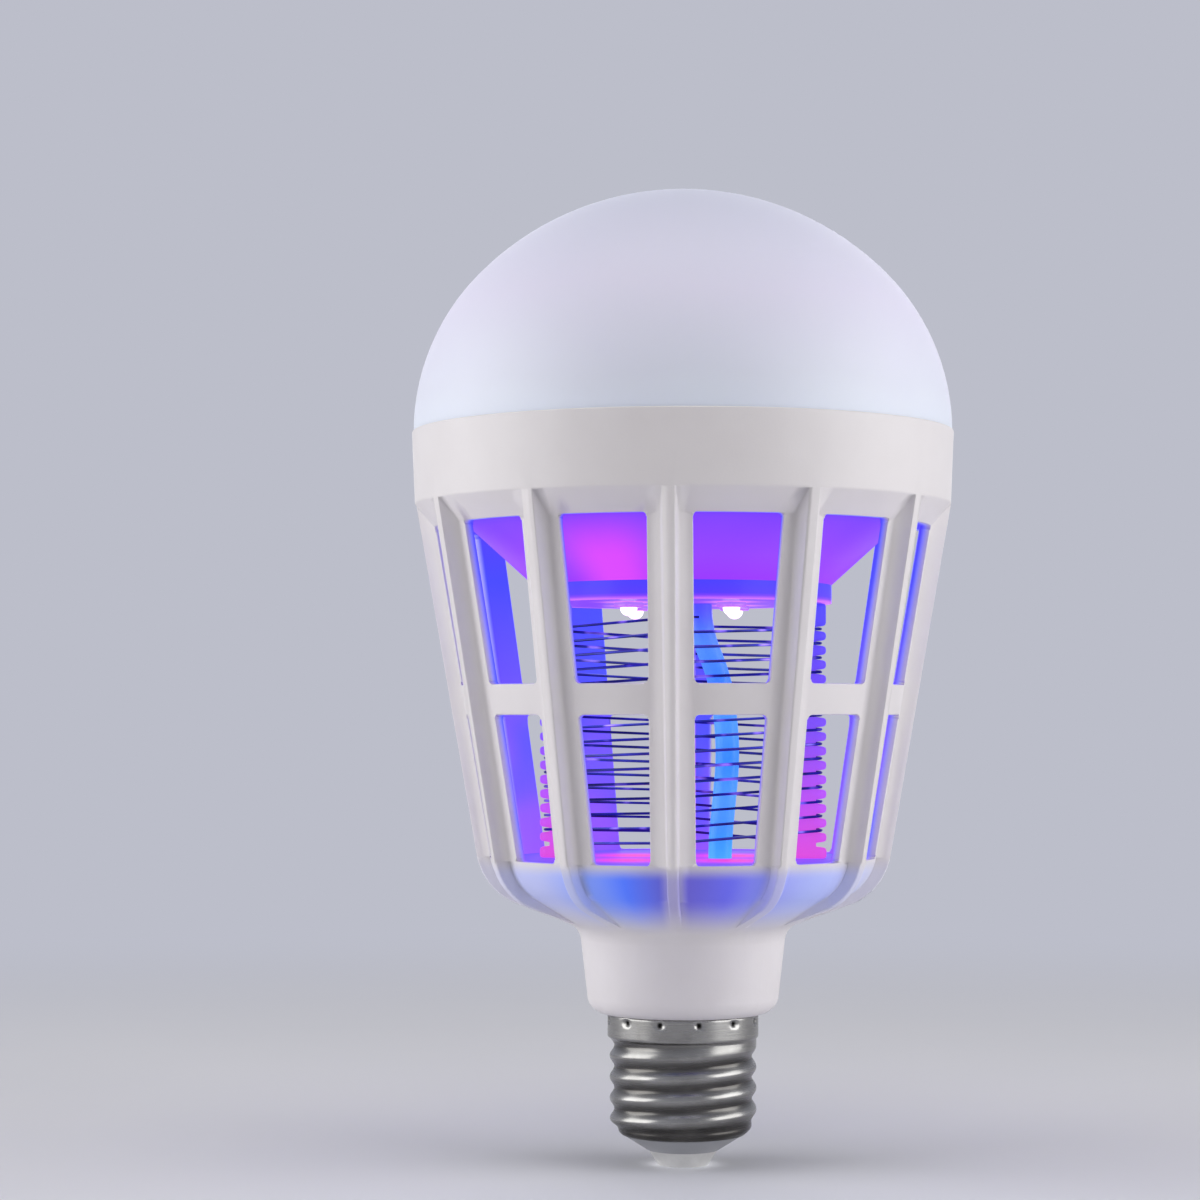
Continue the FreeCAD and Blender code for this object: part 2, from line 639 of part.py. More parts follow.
def diffuser_dome():
    """Opal dome of even wall, with a spigot that sits inside the collar."""
    body = new_body("diffuser_dome")
    sketch = new_sketch(body, "XZ_Plane", "shell_profile")
    sizes = (DOME_RADIUS, "dome_height", DOME_SIDE)
    outer = add_dome_arcs(sketch, *sizes)
    inner = add_dome_arcs(sketch, *[f"{size} - dome_wall" for size in sizes])
    for number, end in ((0, 1), (1, 2)):
        points = [sketch.getPoint(arcs[number], end) for arcs in (outer, inner)]
        line = sketch.addGeometry(Part.LineSegment(*points))
        sketch.addConstraint(Sketcher.Constraint("Coincident", line, 1, outer[number], end))
        sketch.addConstraint(Sketcher.Constraint("Coincident", line, 2, inner[number], end))
    shell = body.newObject("PartDesign::Revolution", "diffuser_dome_shell")
    shell.Profile = sketch
    shell.ReferenceAxis = (sketch, ["V_Axis"])
    shell.Angle = 360
    spigot = f"({COLLAR_BORE} - fit)"
    revolve(body, "spigot", [
        (f"{spigot} - dome_wall", "-dome_spigot"),
        (spigot, "-dome_spigot"),
        (spigot, "0"),
        (f"{DOME_RADIUS} - dome_wall / 5", "0"),
        (f"{DOME_RADIUS} - dome_wall / 2", "dome_wall"),
        (f"{spigot} - dome_wall", "dome_wall"),
    ])
    place(body, z=SEAM)
    return body


def screwed_disc(name, radius, thickness, level):
    """Plate with clearance holes for the screws."""
    body = disc(name, radius, thickness, level)
    depth, level = f"2 * {thickness}", f"-{thickness} / 2"
    hole = drill(body, "screw_hole", "screw_radius + fit", BOSS_CIRCLE, depth, level)
    ring_of(body, "screw_holes", [hole], "screw_count")
    return body


def heat_plate():
    return screwed_disc("heat_plate", f"{COLLAR_BORE} - fit", "plate_thickness", PLATE_SEAT)


def light_board():
    level = f"{PLATE_SEAT} + plate_thickness"
    return screwed_disc("light_board", LIGHT_BOARD_RADIUS, "board_thickness", level)


def light_chips():
    body = new_body("light_chips")
    rings = []
    for name, radius, count in (("outer", OUTER_RING, "outer_ring_count"),
                                ("inner", "inner_ring_radius", "inner_ring_count")):
        sketch = new_sketch(body, "XY_Plane", name + "_outline")
        add_outline(sketch, [
            (f"{radius} - chip_length / 2", "-chip_width / 2"),
            (f"{radius} + chip_length / 2", "-chip_width / 2"),
            (f"{radius} + chip_length / 2", "chip_width / 2"),
            (f"{radius} - chip_length / 2", "chip_width / 2"),
        ])
        rings.append(extrude(body, name, sketch, "chip_height"))
        ring_of(body, name + "_ring", [rings[-1]], count)
    place(body, z=f"{PLATE_SEAT} + plate_thickness + board_thickness")
    return body


def plate_screws():
    """Screws through the board and the plate into the ceiling's bosses."""
    body = new_body("plate_screws")
    head = new_sketch(body, "XY_Plane", "head_outline")
    add_circle(head, "screw_head_radius", BOSS_CIRCLE)
    heads = extrude(body, "head", head, "screw_head_height")
    shank = new_sketch(body, "XY_Plane", "shank_outline")
    add_circle(shank, "screw_radius", BOSS_CIRCLE)
    shanks = extrude(body, "shank", shank, "screw_length", reverse=True)
    ring_of(body, "screws", [heads, shanks], "screw_count")
    place(body, z=f"{PLATE_SEAT} + plate_thickness + board_thickness")
    return body


# Ceiling of the chamber and its ultraviolet light


def chamber_ceiling():
    """White cone that hangs from the collar, with an upright hub and screw bosses on its rim."""
    body = new_body("chamber_ceiling")
    lean = "(0.68 * ceiling_wall)"
    hub_face = "(hub_drop + hub_height - board_thickness)"
    revolve(body, "cone", [
        ("0", f"-{hub_face}"),
        ("hub_radius - ceiling_wall", f"-{hub_face}"),
        ("hub_radius - ceiling_wall", "-(hub_drop + hub_height)"),
        ("hub_radius", "-(hub_drop + hub_height)"),
        ("hub_radius", "-hub_drop"),
        (RIM_RADIUS, "0"),
        (CEILING_RADIUS, "0"),
        (CEILING_RADIUS, "ceiling_wall"),
        (f"{RIM_RADIUS} - {lean}", "ceiling_wall"),
        (f"hub_radius - {lean}", "ceiling_wall - hub_drop"),
        (f"hub_radius - {lean}", f"ceiling_wall - {hub_face}"),
        ("0", f"ceiling_wall - {hub_face}"),
    ])
    bosses = new_sketch(body, "XY_Plane", "boss_outline")
    add_circle(bosses, "boss_radius", BOSS_CIRCLE)
    boss = extrude(body, "boss", bosses, "ceiling_depth - plate_depth")
    hole = drill(body, "pilot", "screw_radius + fit / 4", BOSS_CIRCLE, "ceiling_depth", "ceiling_wall")
    ring_of(body, "bosses", [boss, hole], "screw_count")
    drill(body, "feed_hole", "feed_radius + fit", "feed_offset", "2 * ceiling_wall", f"-{hub_face} - fit")
    place(body, z=CEILING_SEAT)
    return body


def lamp_board():
    return disc("lamp_board", "hub_radius - ceiling_wall - fit", "board_thickness", HUB_BOTTOM)


def lamps():
    """Ultraviolet lamps that hang under their board, between the grid posts."""
    body = new_body("ultraviolet_lamps")
    base = new_sketch(body, "XY_Plane", "base_outline")
    half = "lamp_width / 2"
    add_outline(base, [
        (f"lamp_circle - {half}", f"-{half}"),
        (f"lamp_circle + {half}", f"-{half}"),
        (f"lamp_circle + {half}", half),
        (f"lamp_circle - {half}", half),
    ])
    bases = extrude(body, "base", base, "lamp_base", reverse=True)
    lens = body.newObject("PartDesign::AdditiveCone", "ultraviolet_lamps_lens")
    lens.setExpression("Radius1", bound("lamp_lens_radius * 0.7"))
    lens.setExpression("Radius2", bound("lamp_lens_radius"))
    lens.setExpression("Height", bound("lamp_lens_radius"))
    lens.setExpression(".Placement.Base.x", bound("lamp_circle"))
    lens.setExpression(".Placement.Base.z", bound("-(lamp_base + lamp_lens_radius)"))
    ring_of(body, "lamps", [bases, lens], "lamp_count")
    place(body, z=HUB_BOTTOM, turn="180 / lamp_count")
    return body


# Grid and floor


def wire_corner(number):
    """Point where the wire's straight runs would meet outside a post."""
    apex = value(f"{NOTCH_BOTTOM} + wire_radius + comb_width / 4")
    reach = apex + value("wire_bend") * (math.sqrt(2) - 1)
    azimuth = 2 * math.pi * number / value("comb_count")
    level = value(f"{FLOOR_TOP} + wire_start + 2 * wire_spacing / comb_count * {number}")
    return Vector(reach * math.cos(azimuth), reach * math.sin(azimuth), level)


def wire_tail():
    """Upright start of a wire, through the floor beside its first post."""
    first, second = wire_corner(0), wire_corner(1)
    along = (second - first).normalize()
    top = first + along * value("2 * comb_width")
    return Vector(top.x, top.y, value(f"{FLOOR_SEAT} - wire_bend")), top


def grid_wire(name, turn):
    low, top = wire_tail()
    corners = [wire_corner(number) for number in range(1, int(value("wire_turns * comb_count")))]
    finish = corners[-1] + (wire_corner(len(corners) + 1) - corners[-1]).normalize() * value("comb_width * 2")
    points = [low, top] + corners + [finish]
    bend = value("wire_bend")
    wire = rod(name, points, value("wire_radius"), [bend / 2] + [bend] * len(corners), sides=WIRE_SIDES)
    wire.Placement = FreeCAD.Placement(Vector(), FreeCAD.Rotation(Vector(0, 0, 1), turn))
    return wire


def chamber_floor():
    body = disc("chamber_floor", f"{FLOOR_BORE} - fit", "floor_thickness", FLOOR_SEAT, feed="feed_foot")
    low, _ = wire_tail()
    tail = new_sketch(body, "XY_Plane", "tail_holes")
    size = value("wire_radius + fit")
    for sign in (1, -1):
        spot = tail.addGeometry(Part.Circle(Vector(sign * low.x, sign * low.y, 0), Vector(0, 0, 1), size))
        number = tail.addConstraint(Sketcher.Constraint("Radius", spot, size))
        tail.setExpression(f"Constraints[{number}]", bound("wire_radius + fit"))
        tail.addConstraint(Sketcher.Constraint("DistanceX", spot, 3, sign * low.x))
        tail.addConstraint(Sketcher.Constraint("DistanceY", spot, 3, sign * low.y))
    extrude(body, "tails", tail, "floor_thickness", cut=True, reverse=True)
    return body


def grid_comb(number):
    """Post with a comb of notches down its outer edge, where the wires cross it."""
    body = new_body(f"grid_post_{number + 1}")
    plan = new_sketch(body, "XY_Plane", "plan")
    add_outline(plan, [
        ("comb_circle - comb_depth", "-comb_width / 2"),
        ("comb_circle - comb_width / 3", "-comb_width / 2"),
        ("comb_circle", "-comb_width / 5"),
        ("comb_circle", "comb_width / 5"),
        ("comb_circle - comb_width / 3", "comb_width / 2"),
        ("comb_circle - comb_depth", "comb_width / 2"),
    ])
    extrude(body, "bar", plan, COMB_HEIGHT)
    notch = new_sketch(body, "XZ_Plane", "notch_outline")
    level = f"(wire_start + 2 * wire_spacing / comb_count * {number % 2})"
    add_outline(notch, [
        (NOTCH_BOTTOM, f"{level} - notch_height / 4"),
        ("comb_circle + notch_depth / 3", f"{level} - notch_height / 2"),
        ("comb_circle + notch_depth / 3", f"{level} + notch_height / 2"),
        (NOTCH_BOTTOM, f"{level} + notch_height / 4"),
    ])
    cut = extrude(body, "notch", notch, "comb_width * 2", cut=True, both=True)
    teeth = body.newObject("PartDesign::LinearPattern", f"{body.Name}_teeth")
    teeth.Originals = [cut]
    teeth.Direction = (origin_part(body, "Z_Axis"), [""])
    teeth.setExpression("Length", bound("wire_spacing * (2 * wire_turns - 1)"))
    teeth.setExpression("Occurrences", bound("2 * wire_turns"))
    body.Tip = teeth
    place(body, z=FLOOR_TOP, turn=f"360 / comb_count * {number}")
    return body


def feed_cable():
    """Sleeved feed that bows through the chamber, from under the floor to the white lights."""
    foot, offset = value("feed_foot"), value("feed_offset")
    points = [Vector(foot, 0, value(f"{FLOOR_SEAT} - feed_tail"))]
    for share, reach in FEED_BENDS:
        level = value(f"{FLOOR_SEAT} + {share} * ({HUB_BOTTOM} - {FLOOR_SEAT})")
        points.append(Vector(value(reach), 0, level))
    points.append(Vector(offset, 0, value(f"{PLATE_SEAT} + plate_thickness")))
    return rod("feed_cable", points, value("feed_radius"))


# Driver in the neck


def driver_board():
    body = new_body("driver_board")
    sketch = new_sketch(body, "XZ_Plane", "outline")
    wide = f"({NECK_BORE} - 2 * fit)"
    narrow = "(spigot_bore - 2 * fit)"
    bottom = f"({SPIGOT_BOTTOM} + 2 * panel_wall)"
    add_outline(sketch, [
        (f"-{narrow}", bottom),
        (narrow, bottom),
        (narrow, DRIVER_SHOULDER),
        (wide, DRIVER_SHOULDER),
        (wide, f"{DRIVER_TOP} - 4 * panel_wall"),
        (f"{wide} - 2 * panel_wall", DRIVER_TOP),
        (f"-({wide} - 2 * panel_wall)", DRIVER_TOP),
        (f"-{wide}", f"{DRIVER_TOP} - 4 * panel_wall"),
        (f"-{wide}", DRIVER_SHOULDER),
        (f"-{narrow}", DRIVER_SHOULDER),
    ])
    extrude(body, "board", sketch, "board_thickness", both=True)
    return body


CORE_LEVEL = f"({DRIVER_SHOULDER} + 2 * panel_wall)"


def transformer_core():
    body = new_body("transformer_core")
    sketch = new_sketch(body, "XZ_Plane", "outline")
    add_outline(sketch, [
        ("-core_width / 2", "0"),
        ("core_width / 2", "0"),
        ("core_width / 2", "core_height"),
        ("-core_width / 2", "core_height"),
    ])
    for sign in ("", "-"):
        add_outline(sketch, [
            (f"{sign}core_middle / 2", "core_leg"),
            (f"{sign}(core_width / 2 - core_leg)", "core_leg"),
            (f"{sign}(core_width / 2 - core_leg)", "core_height - core_leg"),
            (f"{sign}core_middle / 2", "core_height - core_leg"),
        ])
    extrude(body, "core", sketch, "core_depth", both=True)
    place(body, y=f"{BOARD_FACE} + coil_depth / 2", z=CORE_LEVEL)
    return body


def transformer_coil():
    body = new_body("transformer_coil")
    sketch = new_sketch(body, "XY_Plane", "outline")
    outer = "(core_width / 2 - core_leg - fit)"
    add_outline(sketch, [
        (f"-{outer}", "-coil_depth / 2", "core_leg / 2"),
        (outer, "-coil_depth / 2", "core_leg / 2"),
        (outer, "coil_depth / 2", "core_leg / 2"),
        (f"-{outer}", "coil_depth / 2", "core_leg / 2"),
    ])
    inner = "(core_middle / 2 + fit)"
    add_outline(sketch, [
        (f"-{inner}", "-(core_depth / 2 + fit)"),
        (inner, "-(core_depth / 2 + fit)"),
        (inner, "core_depth / 2 + fit"),
        (f"-{inner}", "core_depth / 2 + fit"),
    ])
    extrude(body, "coil", sketch, "core_height - 2 * core_leg - 2 * fit")
    place(body, y=f"{BOARD_FACE} + coil_depth / 2", z=f"{CORE_LEVEL} + core_leg + fit")
    return body


def bulk_capacitor():
    body = new_body("bulk_capacitor")
    groove = "bulk_radius / 8"
    revolve(body, "can", [
        ("0", "0"),
        ("bulk_radius", "0"),
        ("bulk_radius", "2 * bulk_radius / 5"),
        (f"bulk_radius - {groove}", "3 * bulk_radius / 5"),
        ("bulk_radius", "4 * bulk_radius / 5"),
        ("bulk_radius", "bulk_height"),
        ("0", "bulk_height"),
    ])
    place(body, x="-(bulk_radius + lead_step)", y=f"-({BOARD_FACE} + bulk_radius)", z=CORE_LEVEL)
    return body


def block(name, width, depth, height, x, y, level, round_edge):
    """Moulded block that stands against the driver board."""
    body = new_body(name)
    sketch = new_sketch(body, "XY_Plane", "outline")
    add_outline(sketch, [
        (f"-{width} / 2", f"-{depth} / 2", round_edge),
        (f"{width} / 2", f"-{depth} / 2", round_edge),
        (f"{width} / 2", f"{depth} / 2", round_edge),
        (f"-{width} / 2", f"{depth} / 2", round_edge),
    ])
    extrude(body, "block", sketch, height)
    place(body, x=x, y=y, z=level)
    return body


def fuse_resistor():
    body = new_body("fuse_resistor")
    revolve(body, "barrel", [
        ("0", "0"),
        ("2 * lead_radius", "0"),
        ("2 * lead_radius", "2 * lead_radius"),
        ("1.7 * lead_radius", "3 * lead_radius"),
        ("1.7 * lead_radius", "8 * lead_radius"),
        ("2 * lead_radius", "9 * lead_radius"),
        ("2 * lead_radius", "11 * lead_radius"),
        ("0", "11 * lead_radius"),
    ])
    place(body, x="spigot_bore / 3", y=f"{BOARD_FACE} + 2 * lead_radius", z=f"{SHELL_TOP} - 11 * lead_radius")
    return body


def multiplier_diodes():
    """Two rectifier diodes of the grid supply, side by side on the driver board."""
    body = new_body("multiplier_diodes")
    for name, across in (("left", "-2 * lead_radius"), ("right", "2 * lead_radius")):
        sketch = new_sketch(body, "XY_Plane", name + "_outline")
        add_circle(sketch, "1.5 * lead_radius", across, "0")
        extrude(body, name, sketch, "6 * lead_radius")
    place(body, x="-(core_width / 2 + 5 * lead_radius)", y=f"{BOARD_FACE} + 1.5 * lead_radius", z=CORE_LEVEL)
    return body


def multiplier_capacitors():
    """Two disc capacitors of the grid supply, one above the other."""
    body = new_body("multiplier_capacitors")
    for name, level in (("low", "film_depth / 2"), ("high", "2 * film_depth")):
        sketch = new_sketch(body, "YZ_Plane", name + "_outline")
        add_circle(sketch, "film_depth / 2", "0", level)
        extrude(body, name, sketch, "film_depth / 2")
    place(body, x="core_width / 2 + lead_radius", y=f"{BOARD_FACE} + film_depth / 2", z=CORE_LEVEL)
    return body


def live_lead():
    """Lead from the contact's stem up to the driver board's lower edge."""
    start = value("contact_height + insulator_seat + insulator_height")
    end = value(f"{SPIGOT_BOTTOM} + 2 * panel_wall")
    step, rise = value("lead_step"), end - start
    low, high = start + rise / 3, end - rise / 3
    points = [Vector(0, 0, start), Vector(0, 0, low), Vector(step, 0, high), Vector(step, 0, end)]
    return rod("live_lead", points, value("lead_radius"), sides=WIRE_SIDES)


def neutral_lead():
    """Thin lead from the screw shell's wall, under the spigot's end, to the driver board's lower edge."""
    wall = value(f"{THREAD_ROOT} - shell_wall")
    spigot_end = value(SPIGOT_BOTTOM)
    under = spigot_end - value("2 * lead_radius")
    board = spigot_end + value("2 * panel_wall")
    step = value("lead_step")
    points = [Vector(-wall + value("fit / 4"), 0, under), Vector(-wall + 2 * step, 0, under),
              Vector(-wall + 3 * step, 0, spigot_end + step), Vector(-wall + 3 * step, 0, board)]
    return rod("neutral_lead", points, value("lead_radius / 2"), sides=WIRE_SIDES)


def grid_lead(name, turn):
    """Insulated lead from a grid wire's tail, under the floor, to the driver board's upper corner."""
    low, _ = wire_tail()
    board = value(DRIVER_TOP)
    side = value(f"{BOARD_FACE} + lead_radius")
    inset = value("2 * (bulk_radius + lead_radius) + lead_step")
    step = value("lead_step")
    points = [low, Vector(low.x, low.y, low.z - step),
              Vector(low.x - 4 * step, (low.y + side) / 2, low.z - 2.7 * step),
              Vector(inset + step, side, board), Vector(inset, side, board - 3 * step)]
    lead = rod(name, points, value("lead_radius"), sides=WIRE_SIDES)
    lead.Placement = FreeCAD.Placement(Vector(), FreeCAD.Rotation(Vector(0, 0, 1), turn))
    return lead


pieces = [
    centre_contact(),
    base_insulator(),
    screw_shell(),
    cage_housing(),
    diffuser_dome(),
    heat_plate(),
    light_board(),
    light_chips(),
    plate_screws(),
    chamber_ceiling(),
    lamp_board(),
    lamps(),
    chamber_floor(),
    driver_board(),
    transformer_core(),
    transformer_coil(),
    bulk_capacitor(),
    block("film_capacitor", "film_width", "film_depth", "film_height",
          "film_width / 2 + 2 * lead_step", f"-({BOARD_FACE} + film_depth / 2)",
          CORE_LEVEL, "film_depth / 8"),
    block("bridge_rectifier", "core_leg * 2", "core_leg", "core_leg * 2",
          "0", f"-({BOARD_FACE} + core_leg / 2)", f"{SHELL_TOP} - 3 * core_leg", "core_leg / 8"),
    fuse_resistor(),
    multiplier_diodes(),
    multiplier_capacitors(),
    live_lead(),
    neutral_lead(),
    feed_cable(),
    grid_wire("grid_wire_live", 0),
    grid_wire("grid_wire_return", 180),
    grid_lead("grid_lead_live", 0),
    grid_lead("grid_lead_return", 180),
]
pieces += [grid_comb(number) for number in range(int(value("comb_count")))]
doc.recompute()

for item in doc.Objects:
    if {"Invalid", "Error"} & set(item.State):
        raise RuntimeError(f"{item.Name} failed: {item.State}")
for piece in pieces:
    if piece.Shape.isNull() or not piece.Shape.isValid():
        raise RuntimeError(f"{piece.Label} has no valid shape")

os.makedirs("parts", exist_ok=True)
for piece in pieces:
    piece.Shape.exportStep(f"parts/{piece.Label}.step")
    size = piece.Shape.BoundBox
    print(f"{piece.Label}: {len(piece.Shape.Solids)} solids, z {size.ZMin:.2f} to {size.ZMax:.2f}")
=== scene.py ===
import bmesh
import bpy
import json
import math
from mathutils import Matrix, Vector


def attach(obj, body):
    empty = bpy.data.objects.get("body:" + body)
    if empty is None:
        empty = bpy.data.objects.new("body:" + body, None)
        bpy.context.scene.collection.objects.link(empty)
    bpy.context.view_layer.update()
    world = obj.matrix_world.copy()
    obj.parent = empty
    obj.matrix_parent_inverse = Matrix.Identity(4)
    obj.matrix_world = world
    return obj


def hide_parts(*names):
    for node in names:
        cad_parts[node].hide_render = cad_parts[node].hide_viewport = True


# Looks of an insect killer light bulb, in metres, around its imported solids.
# The axis is Z. The screw base's contact stands on the floor at z = 0, and the front is -Y.

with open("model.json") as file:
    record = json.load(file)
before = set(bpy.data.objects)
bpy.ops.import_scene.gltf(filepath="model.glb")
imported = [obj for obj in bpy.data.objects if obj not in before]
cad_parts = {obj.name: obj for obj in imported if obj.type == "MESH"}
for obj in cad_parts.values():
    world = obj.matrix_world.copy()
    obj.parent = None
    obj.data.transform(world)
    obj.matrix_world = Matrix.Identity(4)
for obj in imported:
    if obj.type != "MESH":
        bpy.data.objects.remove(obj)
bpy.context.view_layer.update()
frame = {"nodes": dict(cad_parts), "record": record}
NODES = frame["nodes"]
MM = 0.001

# Levels, radii and counts that the source gives, with the thread's start in turns
SHELL_BOTTOM = 5.3 * MM
SHELL_HEIGHT = 20.9 * MM
BAND_RADIUS = 13.1 * MM
BAND_HEIGHT = 3.9 * MM
CREST_RADIUS = 12.75 * MM
THREAD_PITCH = 3.63 * MM
THREAD_DEPTH = 0.8 * MM
THREAD_START = -0.3
SHELL_END_RADIUS = 10.7 * MM
SHELL_END_HEIGHT = 2.9 * MM
PUNCH_COUNT = 12
PUNCH_DROP = 1.05 * MM
BOWL_TOP = 47.1 * MM
FLOOR_TOP = 53.0 * MM
SILL = 53.2 * MM
WINDOW_TOP = 110.6 * MM
HUB_BOTTOM = 97.3 * MM
HUB_EDGE = 100.5 * MM
COLLAR_BOTTOM = 114.6 * MM
CEILING_TOP = 113.2 * MM
SEAM = 127.2 * MM
DOME_HEIGHT = 42.4 * MM
CAGE_BOTTOM_RADIUS = 34.94 * MM
CAGE_TOP_RADIUS = 46.75 * MM
RIB_COUNT = 12
POST_COUNT = 4
LAMP_CIRCLE = 12.5 * MM
LAMP_COUNT = 4
LAMP_WIDTH = 3.8 * MM
LAMP_BASE = 0.9 * MM
LAMP_LENS_RADIUS = 1.5 * MM

# Sizes of the shapes that are made here
EDGE_ROUND = 0.28 * MM
FOOT_BOTTOM = 43.2 * MM
HEAD_MARGIN = 0.4 * MM
SILL_MARGIN = 0.2 * MM
TOOTH_ROUND = 0.45 * MM
TOOTH_HEIGHT = 3 * MM
MERGE_DISTANCE = 0.002 * MM
FLAT_ANGLE = math.radians(1)
SHARP_ANGLE = math.radians(30)
MOULDED_ANGLE = math.radians(40)
ROLLED_ANGLE = math.radians(60)
THREAD_TURNS = 5.0
RUN_OUT_TURNS = 0.5
RUN_IN_BOTTOM = 0.2 * MM
RUN_IN_TOP = 1.6 * MM
SHELL_SIDES = 180
SHELL_RINGS = 104
SHEET = 0.3 * MM
STEP_HEIGHT = 0.5 * MM
END_POWER = 1.7
THREAD_POWER = 1.1
PUNCH_DEPTH = 0.45 * MM
PUNCH_FLOOR = 0.2 * MM
PUNCH_MOUTH = 0.9 * MM
# Depths below the band where the painted shade in the punch marks starts and is full
PIT_SHADE_START = 0.14 * MM
PIT_SHADE_FULL = 0.4 * MM
TOP_EDGE = 0.3 * MM
TOP_EDGE_TURN = 0.12 * MM
LAMP_EDGE = 0.25 * MM
LENS_SEAT = 0.05 * MM
LENS_SIDES = 24
LENS_RINGS = 16

# Sizes of the patterns, where a real one that is too fine to show is drawn coarser
SKIN_GRIT = 0.35 * MM
DOME_GRIT = 0.4 * MM
LINE_WIDTH = 0.35 * MM
LINE_LENGTH = 50 / 3 * MM
RING_SPACING = 13.8175 * MM

# Where the camera stood for the photograph
CAMERA_DISTANCE = 0.52
CAMERA_HEIGHT = 77.9 * MM
CAMERA_TURN = math.radians(2.7)
FOCAL_PIXELS = 2974
PHOTO_SIZE = 1200
AXIS_PIXEL = 682.5
HORIZON_PIXEL = 715

# Settings of a MapRange node that eases in and out
SMOOTH = {"interpolation_type": "SMOOTHSTEP"}
# Settings of a Mix node of colours: the share is its socket 0, the colours are 6 and 7, the result is 2
COLOURS = {"out": 2, "data_type": "RGBA"}

LAMP_SPOTS = []
for lamp in range(LAMP_COUNT):
    azimuth = math.radians(45 + 360 * lamp / LAMP_COUNT)
    LAMP_SPOTS.append((LAMP_CIRCLE * math.cos(azimuth), LAMP_CIRCLE * math.sin(azimuth)))


def linear(code):
    """Linear colour of an sRGB hex code."""
    parts = [int(code[i:i + 2], 16) / 255 for i in (1, 3, 5)]
    return [c / 12.92 if c <= 0.04045 else ((c + 0.055) / 1.055) ** 2.4 for c in parts] + [1.0]


def new_material(name):
    material = bpy.data.materials.new(name)
    material.use_nodes = True
    material.node_tree.nodes.clear()
    return material


def add(owner, kind, inputs=(), out=0, stops=(), **fields):
    """Add a node, fill its sockets with numbers, hex colours or outputs, and return one of its outputs."""
    tree = owner.node_tree
    node = tree.nodes.new("ShaderNode" + kind)
    for field, setting in fields.items():
        setattr(node, field, setting)
    for number, (position, shade) in enumerate(stops):
        points = node.color_ramp.elements
        last = number == len(stops) - 1
        point = points[0] if number == 0 else points[-1] if last else points.new(position)
        point.position = position
        point.color = linear(shade) if isinstance(shade, str) else (shade, shade, shade, 1)
    sockets = inputs.items() if isinstance(inputs, dict) else enumerate(inputs)
    for socket, source in sockets:
        if isinstance(source, bpy.types.NodeSocket):
            tree.links.new(source, node.inputs[socket])
        else:
            node.inputs[socket].default_value = linear(source) if isinstance(source, str) else source
    return node.outputs[out] if node.outputs else None


def reach_of(material, point):
    """Distance of the point from the axis."""
    flat = add(material, "VectorMath", [point, (1, 1, 0)], operation="MULTIPLY")
    return add(material, "VectorMath", [flat], out="Value", operation="LENGTH")


def azimuth_of(material, point):
    """Azimuth of the point about the axis, 0 at the front and rising to the right."""
    x = add(material, "SeparateXYZ", [point], out="X")
    y = add(material, "SeparateXYZ", [point], out="Y")
    back = add(material, "Math", [y, -1.0], operation="MULTIPLY")
    return add(material, "Math", [x, back], operation="ARCTAN2")


def lamp_pools(material, point, reach):
    """Light that falls off with the distance from the middle of each lamp."""
    flat = add(material, "VectorMath", [point, (1, 1, 0)], operation="MULTIPLY")
    total = 0.0
    for spot_x, spot_y in LAMP_SPOTS:
        away = add(material, "VectorMath", [flat, (spot_x, spot_y, 0)], out="Value", operation="DISTANCE")
        share = add(material, "MapRange", [away, reach, 0.0], **SMOOTH)
        total = add(material, "Math", [total, share], operation="MAXIMUM")
    return total


# Materials


